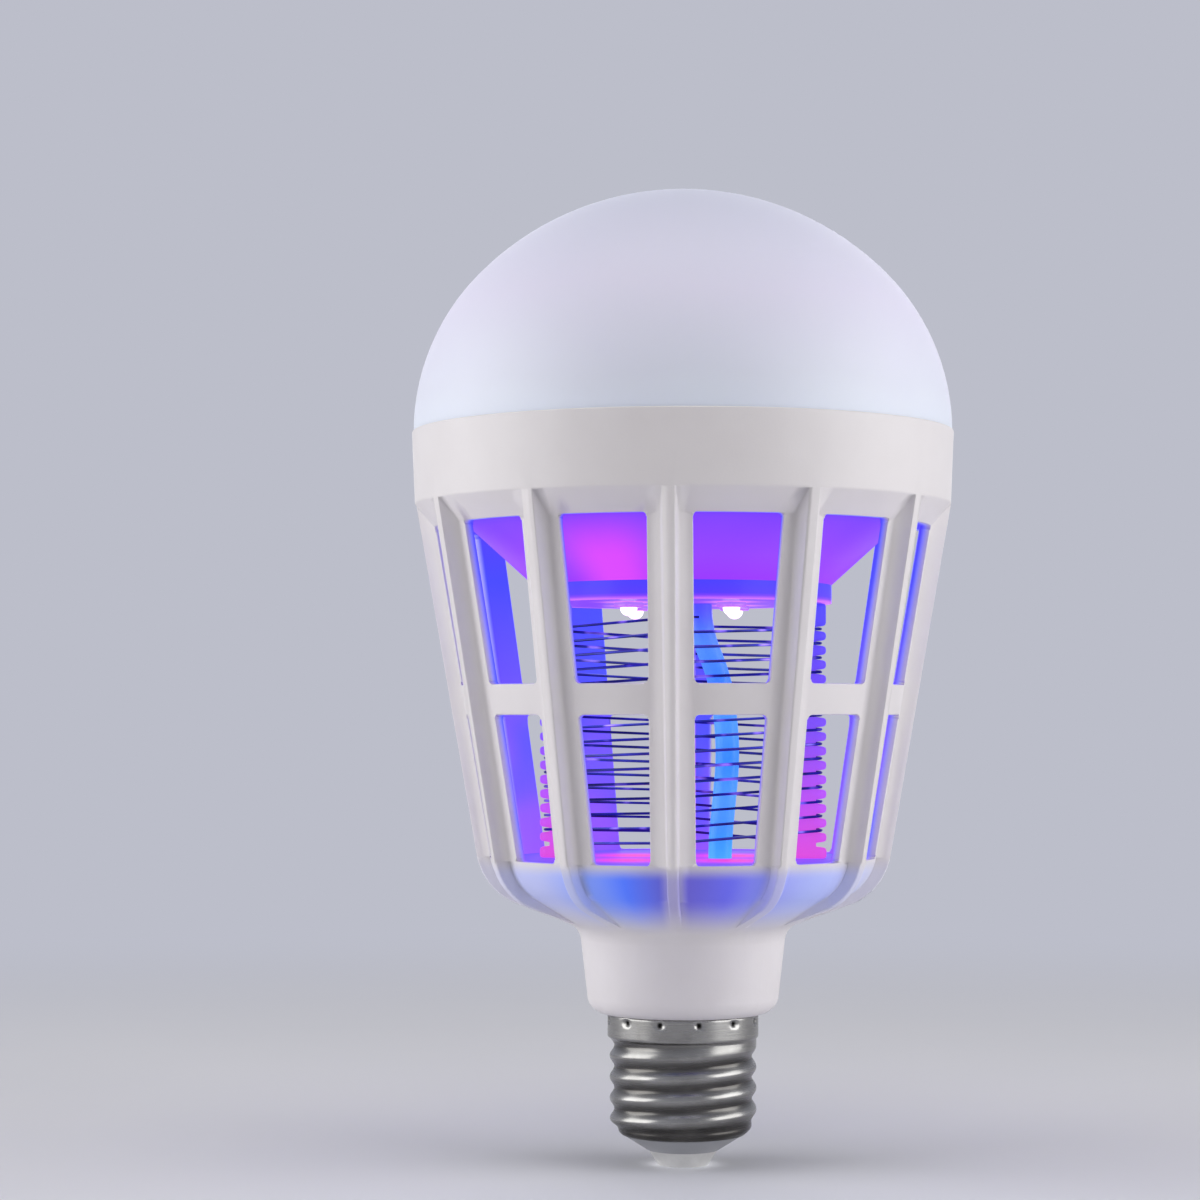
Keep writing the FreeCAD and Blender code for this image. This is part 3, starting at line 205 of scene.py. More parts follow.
def moulded_cage():
    """White ABS, injection moulded: satin, with a skin that the light inside shines through low down."""
    material = new_material("white_abs_moulded_satin")
    point = add(material, "TexCoord", out="Object")
    height = add(material, "SeparateXYZ", [point], out="Z")
    reach = reach_of(material, point)
    azimuth = azimuth_of(material, point)
    # How far the point lies inside the cone of the ribs' faces
    slope = (CAGE_TOP_RADIUS - CAGE_BOTTOM_RADIUS) / (COLLAR_BOTTOM - BOWL_TOP)
    apex = CAGE_BOTTOM_RADIUS - BOWL_TOP * slope
    cone = add(material, "Math", [height, slope, apex], operation="MULTIPLY_ADD")
    depth = add(material, "Math", [cone, reach], operation="SUBTRACT")
    inside = add(material, "MapRange", [depth, 2.9 * MM, 4.4 * MM], **SMOOTH)
    above = add(material, "MapRange", [height, FLOOR_TOP - 3 * MM, FLOOR_TOP])
    inside = add(material, "Math", [inside, above], operation="MULTIPLY")
    # The chamber's side of the wall is lit violet from the floor up to blue under the ceiling
    rise = add(material, "MapRange", [height, FLOOR_TOP, COLLAR_BOTTOM])
    wall_light = add(material, "ValToRGB", [rise], stops=(
        (0.0, "#A45AF0"), (0.25, "#8A62F2"), (0.55, "#6452F4"), (0.8, "#3F50FA"), (1.0, "#5A48EE")))
    patches = add(material, "TexNoise", {"Vector": point, "Scale": 1 / (22 * MM), "Detail": 1.0}, out="Fac")
    cool = add(material, "MapRange", [patches, 0.42, 0.66], **SMOOTH)
    wall_light = add(material, "Mix", {0: cool, 6: wall_light, 7: "#4456F8"}, **COLOURS)
    # Painted glow through the bowl, alike at the front and the back: pale at the sides, periwinkle, blue,
    # and darker violet in the middle where a grid post casts a painted shadow
    half = add(material, "Math", [azimuth, math.pi / 2, -math.pi / 2], operation="WRAP")
    along = add(material, "MapRange", [half, -math.pi / 2, math.pi / 2])
    bowl_light = add(material, "ValToRGB", [along], stops=(
        (0.0, "#8FA6F6"), (0.25, "#7F9AFA"), (0.35, "#4E84FA"), (0.42, "#3A6CF6"),
        (0.5, "#4A3CBC"), (0.6, "#5054E6"), (0.75, "#7F9AFA"), (1.0, "#8FA6F6")))
    share = add(material, "ValToRGB", [along], stops=(
        (0.0, 0.2), (0.14, 0.36), (0.26, 0.46), (0.34, 0.68), (0.42, 1.0), (0.5, 0.92),
        (0.59, 0.95), (0.69, 0.66), (0.78, 0.58), (0.87, 0.4), (1.0, 0.2)))
    under = add(material, "MapRange", [height, BOWL_TOP - 6.5 * MM, BOWL_TOP + 0.5 * MM], **SMOOTH)
    over = add(material, "MapRange", [height, FLOOR_TOP + 0.6 * MM, FLOOR_TOP - 2.4 * MM], **SMOOTH)
    band = add(material, "Math", [under, over], operation="MULTIPLY")
    glow = add(material, "Math", [band, share], operation="MULTIPLY")
    # Ribs are thicker than the wall between them, so they stay paler
    gap = math.pi / RIB_COUNT
    turn = add(material, "Math", [azimuth, gap, -gap], operation="WRAP")
    aside = add(material, "Math", [turn, reach], operation="MULTIPLY")
    aside = add(material, "Math", [aside], operation="ABSOLUTE")
    between = add(material, "MapRange", [aside, 0.5 * MM, 2.6 * MM, 0.5, 1.0], **SMOOTH)
    glow = add(material, "Math", [glow, between], operation="MULTIPLY")
    # Broad, faint changes of shade, as on any large moulding
    shade = add(material, "TexNoise", {"Vector": point, "Scale": 1 / (9 * MM), "Detail": 3.0}, out="Fac")
    skin = add(material, "Mix", {0: shade, 6: "#E4DFE0", 7: "#EBE7E8"}, **COLOURS)
    tint = add(material, "Math", [glow, 0.94], operation="MULTIPLY")
    colour = add(material, "Mix", {0: tint, 6: skin, 7: bowl_light}, **COLOURS)
    # The chamber's side of the wall gets a violet base colour, painted light like its glow
    colour = add(material, "Mix", {0: inside, 6: colour, 7: "#5148C0"}, **COLOURS)
    light = add(material, "Mix", {0: inside, 6: bowl_light, 7: wall_light}, **COLOURS)
    strength = add(material, "Math", [glow, 0.36], operation="MULTIPLY")
    strength = add(material, "Math", [inside, 0.78, strength], operation="MULTIPLY_ADD")
    # The satin skin's texture is about 0.05 mm, drawn at 0.35 mm so that it shows
    grit = add(material, "TexNoise", {"Vector": point, "Scale": 1 / SKIN_GRIT, "Detail": 2.0}, out="Fac")
    normal = add(material, "Bump", {"Height": grit, "Distance": 0.01 * MM}, out="Normal")
    surface = add(material, "BsdfPrincipled", {
        "Base Color": colour, "Roughness": 0.45, "IOR": 1.52, "Specular IOR Level": 0.4, "Normal": normal,
        "Subsurface Weight": 0.1, "Subsurface Radius": (0.002, 0.002, 0.002), "Subsurface Scale": 0.5,
        "Emission Color": light, "Emission Strength": strength})
    add(material, "OutputMaterial", [surface])
    return material


def opal_dome():
    """Opal polycarbonate, blow moulded and satin: lilac-white, paler and bluer low down and greyer at the
    top, with a soft sheen and a faint painted glow.
    """
    material = new_material("opal_polycarbonate_satin")
    point = add(material, "TexCoord", out="Object")
    height = add(material, "SeparateXYZ", [point], out="Z")
    rise = add(material, "MapRange", [height, SEAM, SEAM + DOME_HEIGHT])
    clouds = add(material, "TexNoise", {"Vector": point, "Scale": 1 / (22 * MM), "Detail": 2.0}, out="Fac")
    drift = add(material, "Math", [clouds, 0.16, -0.08], operation="MULTIPLY_ADD")
    rise = add(material, "Math", [rise, drift], operation="ADD", use_clamp=True)
    colour = add(material, "ValToRGB", [rise], stops=(
        (0.0, "#E2E8F6"), (0.14, "#DFE2F2"), (0.5, "#E0DDF3"), (1.0, "#D6D9EE")))
    grit = add(material, "TexNoise", {"Vector": point, "Scale": 1 / DOME_GRIT, "Detail": 2.0}, out="Fac")
    normal = add(material, "Bump", {"Height": grit, "Distance": 0.008 * MM}, out="Normal")
    # A faint emission in the dome's own colour is painted light that brightens it all over
    surface = add(material, "BsdfPrincipled", {
        "Base Color": colour, "Roughness": 0.5, "IOR": 1.58, "Specular IOR Level": 0.35, "Normal": normal,
        "Subsurface Weight": 0.3, "Subsurface Radius": (0.006, 0.006, 0.007), "Subsurface Scale": 0.6,
        "Emission Color": colour, "Emission Strength": 0.06})
    add(material, "OutputMaterial", [surface])
    return material


def rolled_shell():
    """Nickel-plated brass sheet, rolled to its thread: grey metal with fine turning lines round it."""
    material = new_material("nickel_plated_sheet_rolled")
    point = add(material, "TexCoord", out="Object")
    height = add(material, "SeparateXYZ", [point], out="Z")
    reach = reach_of(material, point)
    # Turning lines are about 0.05 mm, drawn at 0.35 mm so that they show
    stretch = (1 / LINE_LENGTH, 1 / LINE_LENGTH, 1 / LINE_WIDTH)
    stretched = add(material, "VectorMath", [point, stretch], operation="MULTIPLY")
    lines = add(material, "TexNoise", {"Vector": stretched, "Scale": 1.0, "Detail": 2.0}, out="Fac")
    smear = add(material, "TexNoise", {"Vector": point, "Scale": 1 / (5 * MM), "Detail": 3.0}, out="Fac")
    smear = add(material, "MapRange", [smear, 0.4, 0.7, 0.0, 0.35], **SMOOTH)
    # Crests are painted brighter as a painted highlight, and the roots darker as painted shade
    crest_painted_highlight = add(material, "MapRange", [reach, CREST_RADIUS - THREAD_DEPTH, CREST_RADIUS])
    colour = add(material, "Mix", {0: crest_painted_highlight, 6: "#4C4A48", 7: "#9C9B98"}, **COLOURS)
    colour = add(material, "Mix", {0: smear, 6: colour, 7: "#6E6C68"}, **COLOURS)
    # Painted shade darkens the pits of the punch marks
    pit_painted_shade = add(material, "MapRange", [reach, BAND_RADIUS - PIT_SHADE_START, BAND_RADIUS - PIT_SHADE_FULL])
    lowest_mark = SHELL_BOTTOM + SHELL_HEIGHT - 2 * PUNCH_DROP
    on_band = add(material, "Math", [height, lowest_mark], operation="GREATER_THAN")
    pit_painted_shade = add(material, "Math", [pit_painted_shade, on_band], operation="MULTIPLY")
    colour = add(material, "Mix", {0: pit_painted_shade, 6: colour, 7: "#161615"}, **COLOURS)
    rough = add(material, "Math", [lines, 0.14, 0.2], operation="MULTIPLY_ADD")
    normal = add(material, "Bump", {"Height": lines, "Distance": 0.008 * MM}, out="Normal")
    surface = add(material, "BsdfPrincipled", {
        "Base Color": colour, "Metallic": 1.0, "Roughness": rough, "Normal": normal})
    add(material, "OutputMaterial", [surface])
    return material


def plated_metal(name, light, dark, roughness):
    """Drawn or stamped metal with faint stains and scratches."""
    material = new_material(name)
    point = add(material, "TexCoord", out="Object")
    stains = add(material, "TexNoise", {"Vector": point, "Scale": 1 / (1.5 * MM), "Detail": 3.0}, out="Fac")
    scratches = {"Vector": point, "Scale": 1 / (0.2 * MM), "Detail": 3.0}
    scratches = add(material, "TexNoise", scratches, out="Fac")
    colour = add(material, "Mix", {0: stains, 6: light, 7: dark}, **COLOURS)
    rough = add(material, "Math", [scratches, 0.15, roughness - 0.07], operation="MULTIPLY_ADD")
    normal = add(material, "Bump", {"Height": scratches, "Distance": 0.01 * MM}, out="Normal")
    surface = add(material, "BsdfPrincipled", {
        "Base Color": colour, "Metallic": 1.0, "Roughness": rough, "Normal": normal})
    add(material, "OutputMaterial", [surface])
    return material


def plain_moulding(name, light, dark, roughness, coat=0.0):
    """Moulded, dipped or coated piece with slight changes of shade and a fine surface."""
    material = new_material(name)
    point = add(material, "TexCoord", out="Object")
    shade = add(material, "TexNoise", {"Vector": point, "Scale": 1 / (2.5 * MM), "Detail": 3.0}, out="Fac")
    colour = add(material, "Mix", {0: shade, 6: light, 7: dark}, **COLOURS)
    grit = add(material, "TexNoise", {"Vector": point, "Scale": 1 / (0.3 * MM), "Detail": 2.0}, out="Fac")
    normal = add(material, "Bump", {"Height": grit, "Distance": 0.01 * MM}, out="Normal")
    surface = add(material, "BsdfPrincipled", {
        "Base Color": colour, "Roughness": roughness, "Coat Weight": coat, "Coat Roughness": 0.1,
        "Normal": normal})
    add(material, "OutputMaterial", [surface])
    return material


def lit_moulding(material, light, dark, strength, roughness=0.4):
    """Shader of a piece inside the chamber: a dim base that glows in the light of the lamps."""
    base = add(material, "Mix", {0: 0.72, 6: light, 7: dark}, **COLOURS)
    point = add(material, "TexCoord", out="Object")
    grit = add(material, "TexNoise", {"Vector": point, "Scale": 1 / (0.4 * MM), "Detail": 2.0}, out="Fac")
    normal = add(material, "Bump", {"Height": grit, "Distance": 0.01 * MM}, out="Normal")
    surface = add(material, "BsdfPrincipled", {
        "Base Color": base, "Roughness": roughness, "Specular IOR Level": 0.12, "Normal": normal,
        "Emission Color": light, "Emission Strength": strength})
    add(material, "OutputMaterial", [surface])
    return material


def lit_ceiling():
    """White ABS ceiling of the chamber, lit violet with pink pools on its cone, and unlit on top."""
    material = new_material("white_abs_lit_violet")
    point = add(material, "TexCoord", out="Object")
    height = add(material, "SeparateXYZ", [point], out="Z")
    rise = add(material, "MapRange", [height, HUB_EDGE, CEILING_TOP])
    cone = add(material, "ValToRGB", [rise], stops=(
        (0.0, "#A23CF2"), (0.3, "#9E48F8"), (0.75, "#8846FA"), (1.0, "#5A40EE")))
    # Pink pools on the cone stand beside the lamps
    azimuth = azimuth_of(material, point)
    half = add(material, "Math", [azimuth, math.pi / 2, -math.pi / 2], operation="WRAP")
    centred = add(material, "Math", [half, math.radians(21)], operation="ADD")
    centred = add(material, "Math", [centred], operation="ABSOLUTE")
    pink = add(material, "MapRange", [centred, math.radians(22), math.radians(2)], **SMOOTH)
    low = add(material, "MapRange", [rise, 0.95, 0.25], **SMOOTH)
    pink = add(material, "Math", [pink, low], operation="MULTIPLY")
    cone = add(material, "Mix", {0: pink, 6: cone, 7: "#E84CEC"}, **COLOURS)
    # The hub's upright wall is blue, with a pink strip along its lower edge
    wall = add(material, "MapRange", [height, HUB_BOTTOM, HUB_EDGE])
    wall_light = add(material, "ValToRGB", [wall], stops=(
        (0.0, "#E078F8"), (0.16, "#8446F0"), (0.3, "#5A40EC"), (1.0, "#4A44EA")))
    on_hub = add(material, "Math", [height, HUB_EDGE - 0.05 * MM], operation="LESS_THAN")
    light = add(material, "Mix", {0: on_hub, 6: cone, 7: wall_light}, **COLOURS)
    top = add(material, "MapRange", [height, CEILING_TOP - 0.9 * MM, CEILING_TOP - 0.2 * MM])
    strength = add(material, "Math", [top, -0.78, 0.78], operation="MULTIPLY_ADD")
    dark = add(material, "Mix", {0: top, 6: "#3A2A90", 7: "#FFFFFF"}, **COLOURS)
    return lit_moulding(material, light, dark, strength)


def lit_floor():
    """White ABS floor under the lamps: violet, with a pink spot below each lamp."""
    material = new_material("white_abs_floor_lit_violet")
    point = add(material, "TexCoord", out="Object")
    out = add(material, "MapRange", [reach_of(material, point), 8 * MM, 31 * MM])
    shade = add(material, "ValToRGB", [out], stops=((0.0, "#B04CFF"), (0.6, "#8A55FF"), (1.0, "#6A5CFF")))
    pools = lamp_pools(material, point, 13 * MM)
    light = add(material, "Mix", {0: pools, 6: shade, 7: "#FF44B8"}, **COLOURS)
    return lit_moulding(material, light, "#3A2A80", 0.8, 0.55)


def lit_comb():
    """Nylon comb posts, lit pink near the floor, then violet and blue above."""
    material = new_material("nylon_comb_lit")
    point = add(material, "TexCoord", out="Object")
    height = add(material, "SeparateXYZ", [point], out="Z")
    rise = add(material, "MapRange", [height, FLOOR_TOP, HUB_BOTTOM])
    light = add(material, "ValToRGB", [rise], stops=(
        (0.0, "#F858C4"), (0.2, "#D45CEA"), (0.5, "#8E5CF2"), (1.0, "#4C4CEC")))
    return lit_moulding(material, light, "#4A3A90", 0.66)


def lit_board():
    """White solder resist of the lamps' board, with a ring of pink light round each lamp."""
    material = new_material("solder_resist_white_lit")
    point = add(material, "TexCoord", out="Object")
    pools = lamp_pools(material, point, 7.5 * MM)
    light = add(material, "Mix", {0: pools, 6: "#8A40F0", 7: "#FF8CF0"}, **COLOURS)
    return lit_moulding(material, light, "#3A2A80", 0.85, 0.3)


def grid_wire():
    """Drawn stainless wire: dark blue in the lamps' light, with pale violet glints here and there."""
    material = new_material("stainless_wire_drawn")
    point = add(material, "TexCoord", out="Object")
    spots = add(material, "TexNoise", {"Vector": point, "Scale": 1 / (6 * MM), "Detail": 1.0}, out="Fac")
    light = add(material, "ValToRGB", [spots], stops=(
        (0.36, "#100C48"), (0.6, "#1C1E86"), (0.74, "#A484F0")))
    base = add(material, "Mix", {0: 0.4, 6: light, 7: "#3C4484"}, **COLOURS)
    surface = add(material, "BsdfPrincipled", {
        "Base Color": base, "Metallic": 1.0, "Roughness": 0.3,
        "Emission Color": light, "Emission Strength": 0.3})
    add(material, "OutputMaterial", [surface])
    return material


def feed_sleeve():
    """Shrunk PVC sleeve, lit cyan by the lamps, with faint rings where it was shrunk on."""
    material = new_material("pvc_sleeve_shrunk_lit")
    point = add(material, "TexCoord", out="Object")
    height = add(material, "SeparateXYZ", [point], out="Z")
    rise = add(material, "MapRange", [height, FLOOR_TOP, HUB_BOTTOM])
    light = add(material, "ValToRGB", [rise], stops=(
        (0.0, "#38C0D8"), (0.12, "#3AA4F0"), (0.5, "#3C9CF4"), (0.8, "#4088F8"), (1.0, "#5A5CF4")))
    # A wave texture's bands are pi / 10 apart at a scale of 1
    waves = {"Vector": point, "Scale": math.pi / 10 / RING_SPACING, "Distortion": 1.5, "Detail": 1.0}
    rings = add(material, "TexWave", waves, out="Fac", wave_type="BANDS", bands_direction="Z")
    share = add(material, "Math", [rings, 0.3], operation="MULTIPLY")
    light = add(material, "Mix", {0: share, 6: light, 7: "#74CCFF"}, **COLOURS)
    normal = add(material, "Bump", {"Height": rings, "Distance": 0.05 * MM}, out="Normal")
    surface = add(material, "BsdfPrincipled", {
        "Base Color": light, "Roughness": 0.35, "Normal": normal,
        "Emission Color": light, "Emission Strength": 0.5})
    add(material, "OutputMaterial", [surface])
    return material


def lamp_light():
    """Lit ultraviolet lamp of clear epoxy: a white lens with a pinkish tip, on a violet base."""
    material = new_material("clear_epoxy_lamp_lit")
    point = add(material, "TexCoord", out="Object")
    height = add(material, "SeparateXYZ", [point], out="Z")
    rise = add(material, "MapRange", [height, HUB_BOTTOM - LAMP_BASE - LAMP_LENS_RADIUS, HUB_BOTTOM])
    colour = add(material, "ValToRGB", [rise], stops=(
        (0.0, "#FFC4FF"), (0.3, "#FFF4FF"), (0.58, "#F4F4FF"), (0.63, "#9450CC"), (1.0, "#6A58D8")))
    surface = add(material, "BsdfPrincipled", {
        "Base Color": colour, "Roughness": 0.15, "Emission Color": colour, "Emission Strength": 1.6})
    add(material, "OutputMaterial", [surface])
    return material


def chip_light():
    """White light chip: yellow phosphor under clear resin in a white cup."""
    material = new_material("phosphor_chip_resin")
    point = add(material, "TexCoord", out="Object")
    shade = add(material, "TexNoise", {"Vector": point, "Scale": 1 / (1.2 * MM), "Detail": 2.0}, out="Fac")
    colour = add(material, "Mix", {0: shade, 6: "#F4D968", 7: "#F8E9A0"}, **COLOURS)
    surface = add(material, "BsdfPrincipled", {"Base Color": colour, "Roughness": 0.15, "Coat Weight": 0.5})
    add(material, "OutputMaterial", [surface])
    return material


# One finish for each material slot of the record
FINISHES = {
    "white_moulding": moulded_cage(),
    "opal_dome": opal_dome(),
    "nickel_shell": rolled_shell(),
    "contact_metal": plated_metal("tinned_brass_button", "#F4F3F0", "#E4E3DF", 0.55),
    # The insulator is dark glass: its grey colour is a painted reflection laid over that dark
    "insulator": plain_moulding("dark_glass_insulator_painted_grey", "#94959A", "#A0A1A5", 0.3, coat=0.3),
    "heat_plate": plated_metal("aluminium_sheet_stamped", "#C8C9CB", "#B4B5B8", 0.4),
    "screw_steel": plated_metal("zinc_plated_steel", "#BDBDBA", "#9A9A96", 0.35),
    "white_board": plain_moulding("solder_resist_white", "#E8E8E4", "#DEDEDA", 0.35),
    "white_chips": chip_light(),
    "chamber_moulding": lit_ceiling(),
    "comb_moulding": lit_comb(),
    "grid_wire": grid_wire(),
    "feed_sleeve": feed_sleeve(),
    "ultraviolet_lamps": lamp_light(),
    "green_board": plain_moulding("solder_resist_green", "#1E5C34", "#174A2A", 0.35),
    "ferrite": plain_moulding("ferrite_ground", "#2A2A2C", "#343436", 0.6),
    "winding_tape": plain_moulding("polyester_tape_yellow", "#E2BE3A", "#D4AE30", 0.3),
    "capacitor_sleeve": plain_moulding("pvc_sleeve_dark_blue", "#1A1D33", "#20243E", 0.3),
    "film_block": plain_moulding("epoxy_dip_red_brown", "#8A2418", "#7A1E14", 0.3),
    "black_resin": plain_moulding("moulding_compound_black", "#1C1C1C", "#242424", 0.55),
    "resistor_lacquer": plain_moulding("lacquer_grey_green", "#7A9C84", "#6C8E78", 0.4),
    "disc_ceramic": plain_moulding("epoxy_dip_blue", "#2450A0", "#1E448C", 0.3),
    "red_insulation": plain_moulding("silicone_insulation_red", "#B01E18", "#A01A16", 0.45),
    "black_insulation": plain_moulding("silicone_insulation_black", "#1A1A1C", "#222224", 0.45),
}
# Two nodes share a slot with others but are lit in their own way
SPECIAL_FINISHES = {"chamber_floor": lit_floor(), "lamp_board": lit_board()}


def dress(piece, finish):
    """Give a CAD node or a new piece one material all over."""
    if not piece.material_slots:
        piece.data.materials.append(finish)
    for material_slot in piece.material_slots:
        material_slot.material = finish


for subpart in frame["record"]["subparts"]:
    node_name = subpart["node"]
    dress(NODES[node_name], SPECIAL_FINISHES.get(node_name, FINISHES[subpart["material_slot"]]))


# New pieces


def deselect_all():
    if bpy.context.object and bpy.context.object.mode != "OBJECT":
        bpy.ops.object.mode_set(mode="OBJECT")
    bpy.ops.object.select_all(action="DESELECT")


def make_active(piece):
    deselect_all()
    piece.select_set(True)
    bpy.context.view_layer.objects.active = piece


def start_piece(name):
    """Name the primitive that was just added and put its place in its mesh."""
    piece = bpy.context.object
    piece.name = name
    piece.data.name = name
    bpy.ops.object.transform_apply(location=True, rotation=True, scale=True)
    return piece


def finish_piece(piece, node_name, slot_name, angle):
    """Smooth the piece, let it stand for its CAD node and ride on the only body."""
    make_active(piece)
    bpy.ops.object.shade_smooth_by_angle(angle=angle)
    dress(piece, FINISHES[slot_name])
    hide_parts(node_name)
    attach(piece, "root")
    deselect_all()


def smooth_step(number, low, high):
    share = min(max((number - low) / (high - low), 0.0), 1.0)
    return share * share * (3 - 2 * share)


def moulded_copy(node_name):
    """Merged copy of a node's mesh, with its flat faces whole again."""
    node = NODES[node_name]
    piece = node.copy()
    piece.data = node.data.copy()
    piece.name = node_name + "_moulded"
    bpy.context.scene.collection.objects.link(piece)
    make_active(piece)
    bpy.ops.object.mode_set(mode="EDIT")
    bpy.ops.mesh.select_all(action="SELECT")
    bpy.ops.mesh.remove_doubles(threshold=MERGE_DISTANCE)
    bpy.ops.mesh.dissolve_limited(angle_limit=FLAT_ANGLE)
    bpy.ops.object.mode_set(mode="OBJECT")
    return piece


def round_edges(piece, width, is_chosen):
    """Round the sharp outer edges, long enough for it, whose lowest and highest levels are chosen."""
    shape = bmesh.new()
    shape.from_mesh(piece.data)
    weights = shape.edges.layers.float.new("bevel_weight_edge")
    for edge in shape.edges:
        low, high = sorted(corner.co.z for corner in edge.verts)
        sharp = edge.calc_face_angle_signed() > SHARP_ANGLE and edge.calc_length() > 2 * width
        edge[weights] = float(sharp and is_chosen(low, high))
    shape.to_mesh(piece.data)
    shape.free()
    make_active(piece)
    edges = piece.modifiers.new("round_edges", "BEVEL")
    edges.width = width
    edges.segments = 2
    edges.limit_method = "WEIGHT"
    edges.use_clamp_overlap = False
    bpy.ops.object.modifier_apply(modifier=edges.name)


def is_housing_edge(low, high):
    """Edges of the ribs, windows and collar, but not where the sill and the ledge run into the panels."""
    foot = low > FOOT_BOTTOM and high < FLOOR_TOP
    head = low > WINDOW_TOP - HEAD_MARGIN and high < WINDOW_TOP + HEAD_MARGIN
    wall = low > SILL + SILL_MARGIN and not head
    return foot or wall


def is_tooth_edge(low, high):
    """Edges that are short enough to belong to a tooth."""
    return high - low < TOOTH_HEIGHT


def build_housing():
    """Housing with the round edges of a moulding."""
    housing = moulded_copy("cage_housing")
    round_edges(housing, EDGE_ROUND, is_housing_edge)
    finish_piece(housing, "cage_housing", "white_moulding", MOULDED_ANGLE)
    make_active(housing)
    even = housing.modifiers.new("even_shading", "WEIGHTED_NORMAL")
    even.keep_sharp = True
    bpy.ops.object.modifier_apply(modifier=even.name)
    deselect_all()


def build_posts():
    """Comb posts whose small teeth are rounded like beads."""
    for number in range(1, POST_COUNT + 1):
        node_name = "grid_post_%d" % number
        post = moulded_copy(node_name)
        round_edges(post, TOOTH_ROUND, is_tooth_edge)
        finish_piece(post, node_name, "comb_moulding", MOULDED_ANGLE)


def shell_radius(height, azimuth):
    """Outside of the rolled shell: turned-in end, round thread with a run-out, step up to the band."""
    band_bottom = SHELL_HEIGHT - BAND_HEIGHT
    step = smooth_step(height, band_bottom - STEP_HEIGHT, band_bottom)
    radius = CREST_RADIUS + (BAND_RADIUS - CREST_RADIUS) * step
    if height < SHELL_END_HEIGHT:
        radius -= (CREST_RADIUS - SHELL_END_RADIUS) * (1 - height / SHELL_END_HEIGHT) ** END_POWER
    turn = azimuth / (2 * math.pi)
    place = height / THREAD_PITCH - THREAD_START - turn
    groove = round(place)
    run_out = smooth_step(THREAD_TURNS - groove - turn, 0.0, RUN_OUT_TURNS) * (1 - step)
    wave = 0.5 + 0.5 * math.cos(2 * math.pi * (place - groove))
    start = smooth_step(height, RUN_IN_BOTTOM, RUN_IN_TOP)
    return radius - THREAD_DEPTH * wave ** THREAD_POWER * run_out * start


def build_shell():
    """Rolled sheet shell: a tube drawn up ring by ring, pressed to its thread, then given its thickness."""
    deselect_all()
    bpy.ops.mesh.primitive_circle_add(
        vertices=SHELL_SIDES, radius=BAND_RADIUS, location=(0, 0, SHELL_BOTTOM))
    shell = start_piece("screw_shell_rolled")
    bpy.ops.object.mode_set(mode="EDIT")
    bpy.ops.mesh.select_all(action="SELECT")
    ring_rise = (0, 0, SHELL_HEIGHT / SHELL_RINGS)
    for ring in range(SHELL_RINGS):
        bpy.ops.mesh.extrude_region_move(TRANSFORM_OT_translate={"value": ring_rise})
    bpy.ops.mesh.select_all(action="SELECT")
    bpy.ops.mesh.normals_make_consistent(inside=False)
    bpy.ops.object.mode_set(mode="OBJECT")
    punch_pitch = 2 * math.pi / PUNCH_COUNT
    for vertex in shell.data.vertices:
        azimuth = math.atan2(vertex.co.y, vertex.co.x) % (2 * math.pi)
        height = vertex.co.z - SHELL_BOTTOM
        radius = shell_radius(height, azimuth)
        # Punch marks that lock the sheet on the neck
        aside = ((azimuth % punch_pitch) - punch_pitch / 2) * BAND_RADIUS
        away = math.hypot(aside, height - SHELL_HEIGHT + PUNCH_DROP)
        radius -= PUNCH_DEPTH * (1 - smooth_step(away, PUNCH_FLOOR, PUNCH_MOUTH))
        # Top edge is rolled slightly inwards
        radius -= TOP_EDGE_TURN * smooth_step(height, SHELL_HEIGHT - TOP_EDGE, SHELL_HEIGHT)
        vertex.co.x = radius * math.cos(azimuth)
        vertex.co.y = radius * math.sin(azimuth)
    make_active(shell)
    sheet = shell.modifiers.new("sheet", "SOLIDIFY")
    sheet.thickness = SHEET
    sheet.offset = -1
    bpy.ops.object.modifier_apply(modifier=sheet.name)
    finish_piece(shell, "screw_shell", "nickel_shell", ROLLED_ANGLE)


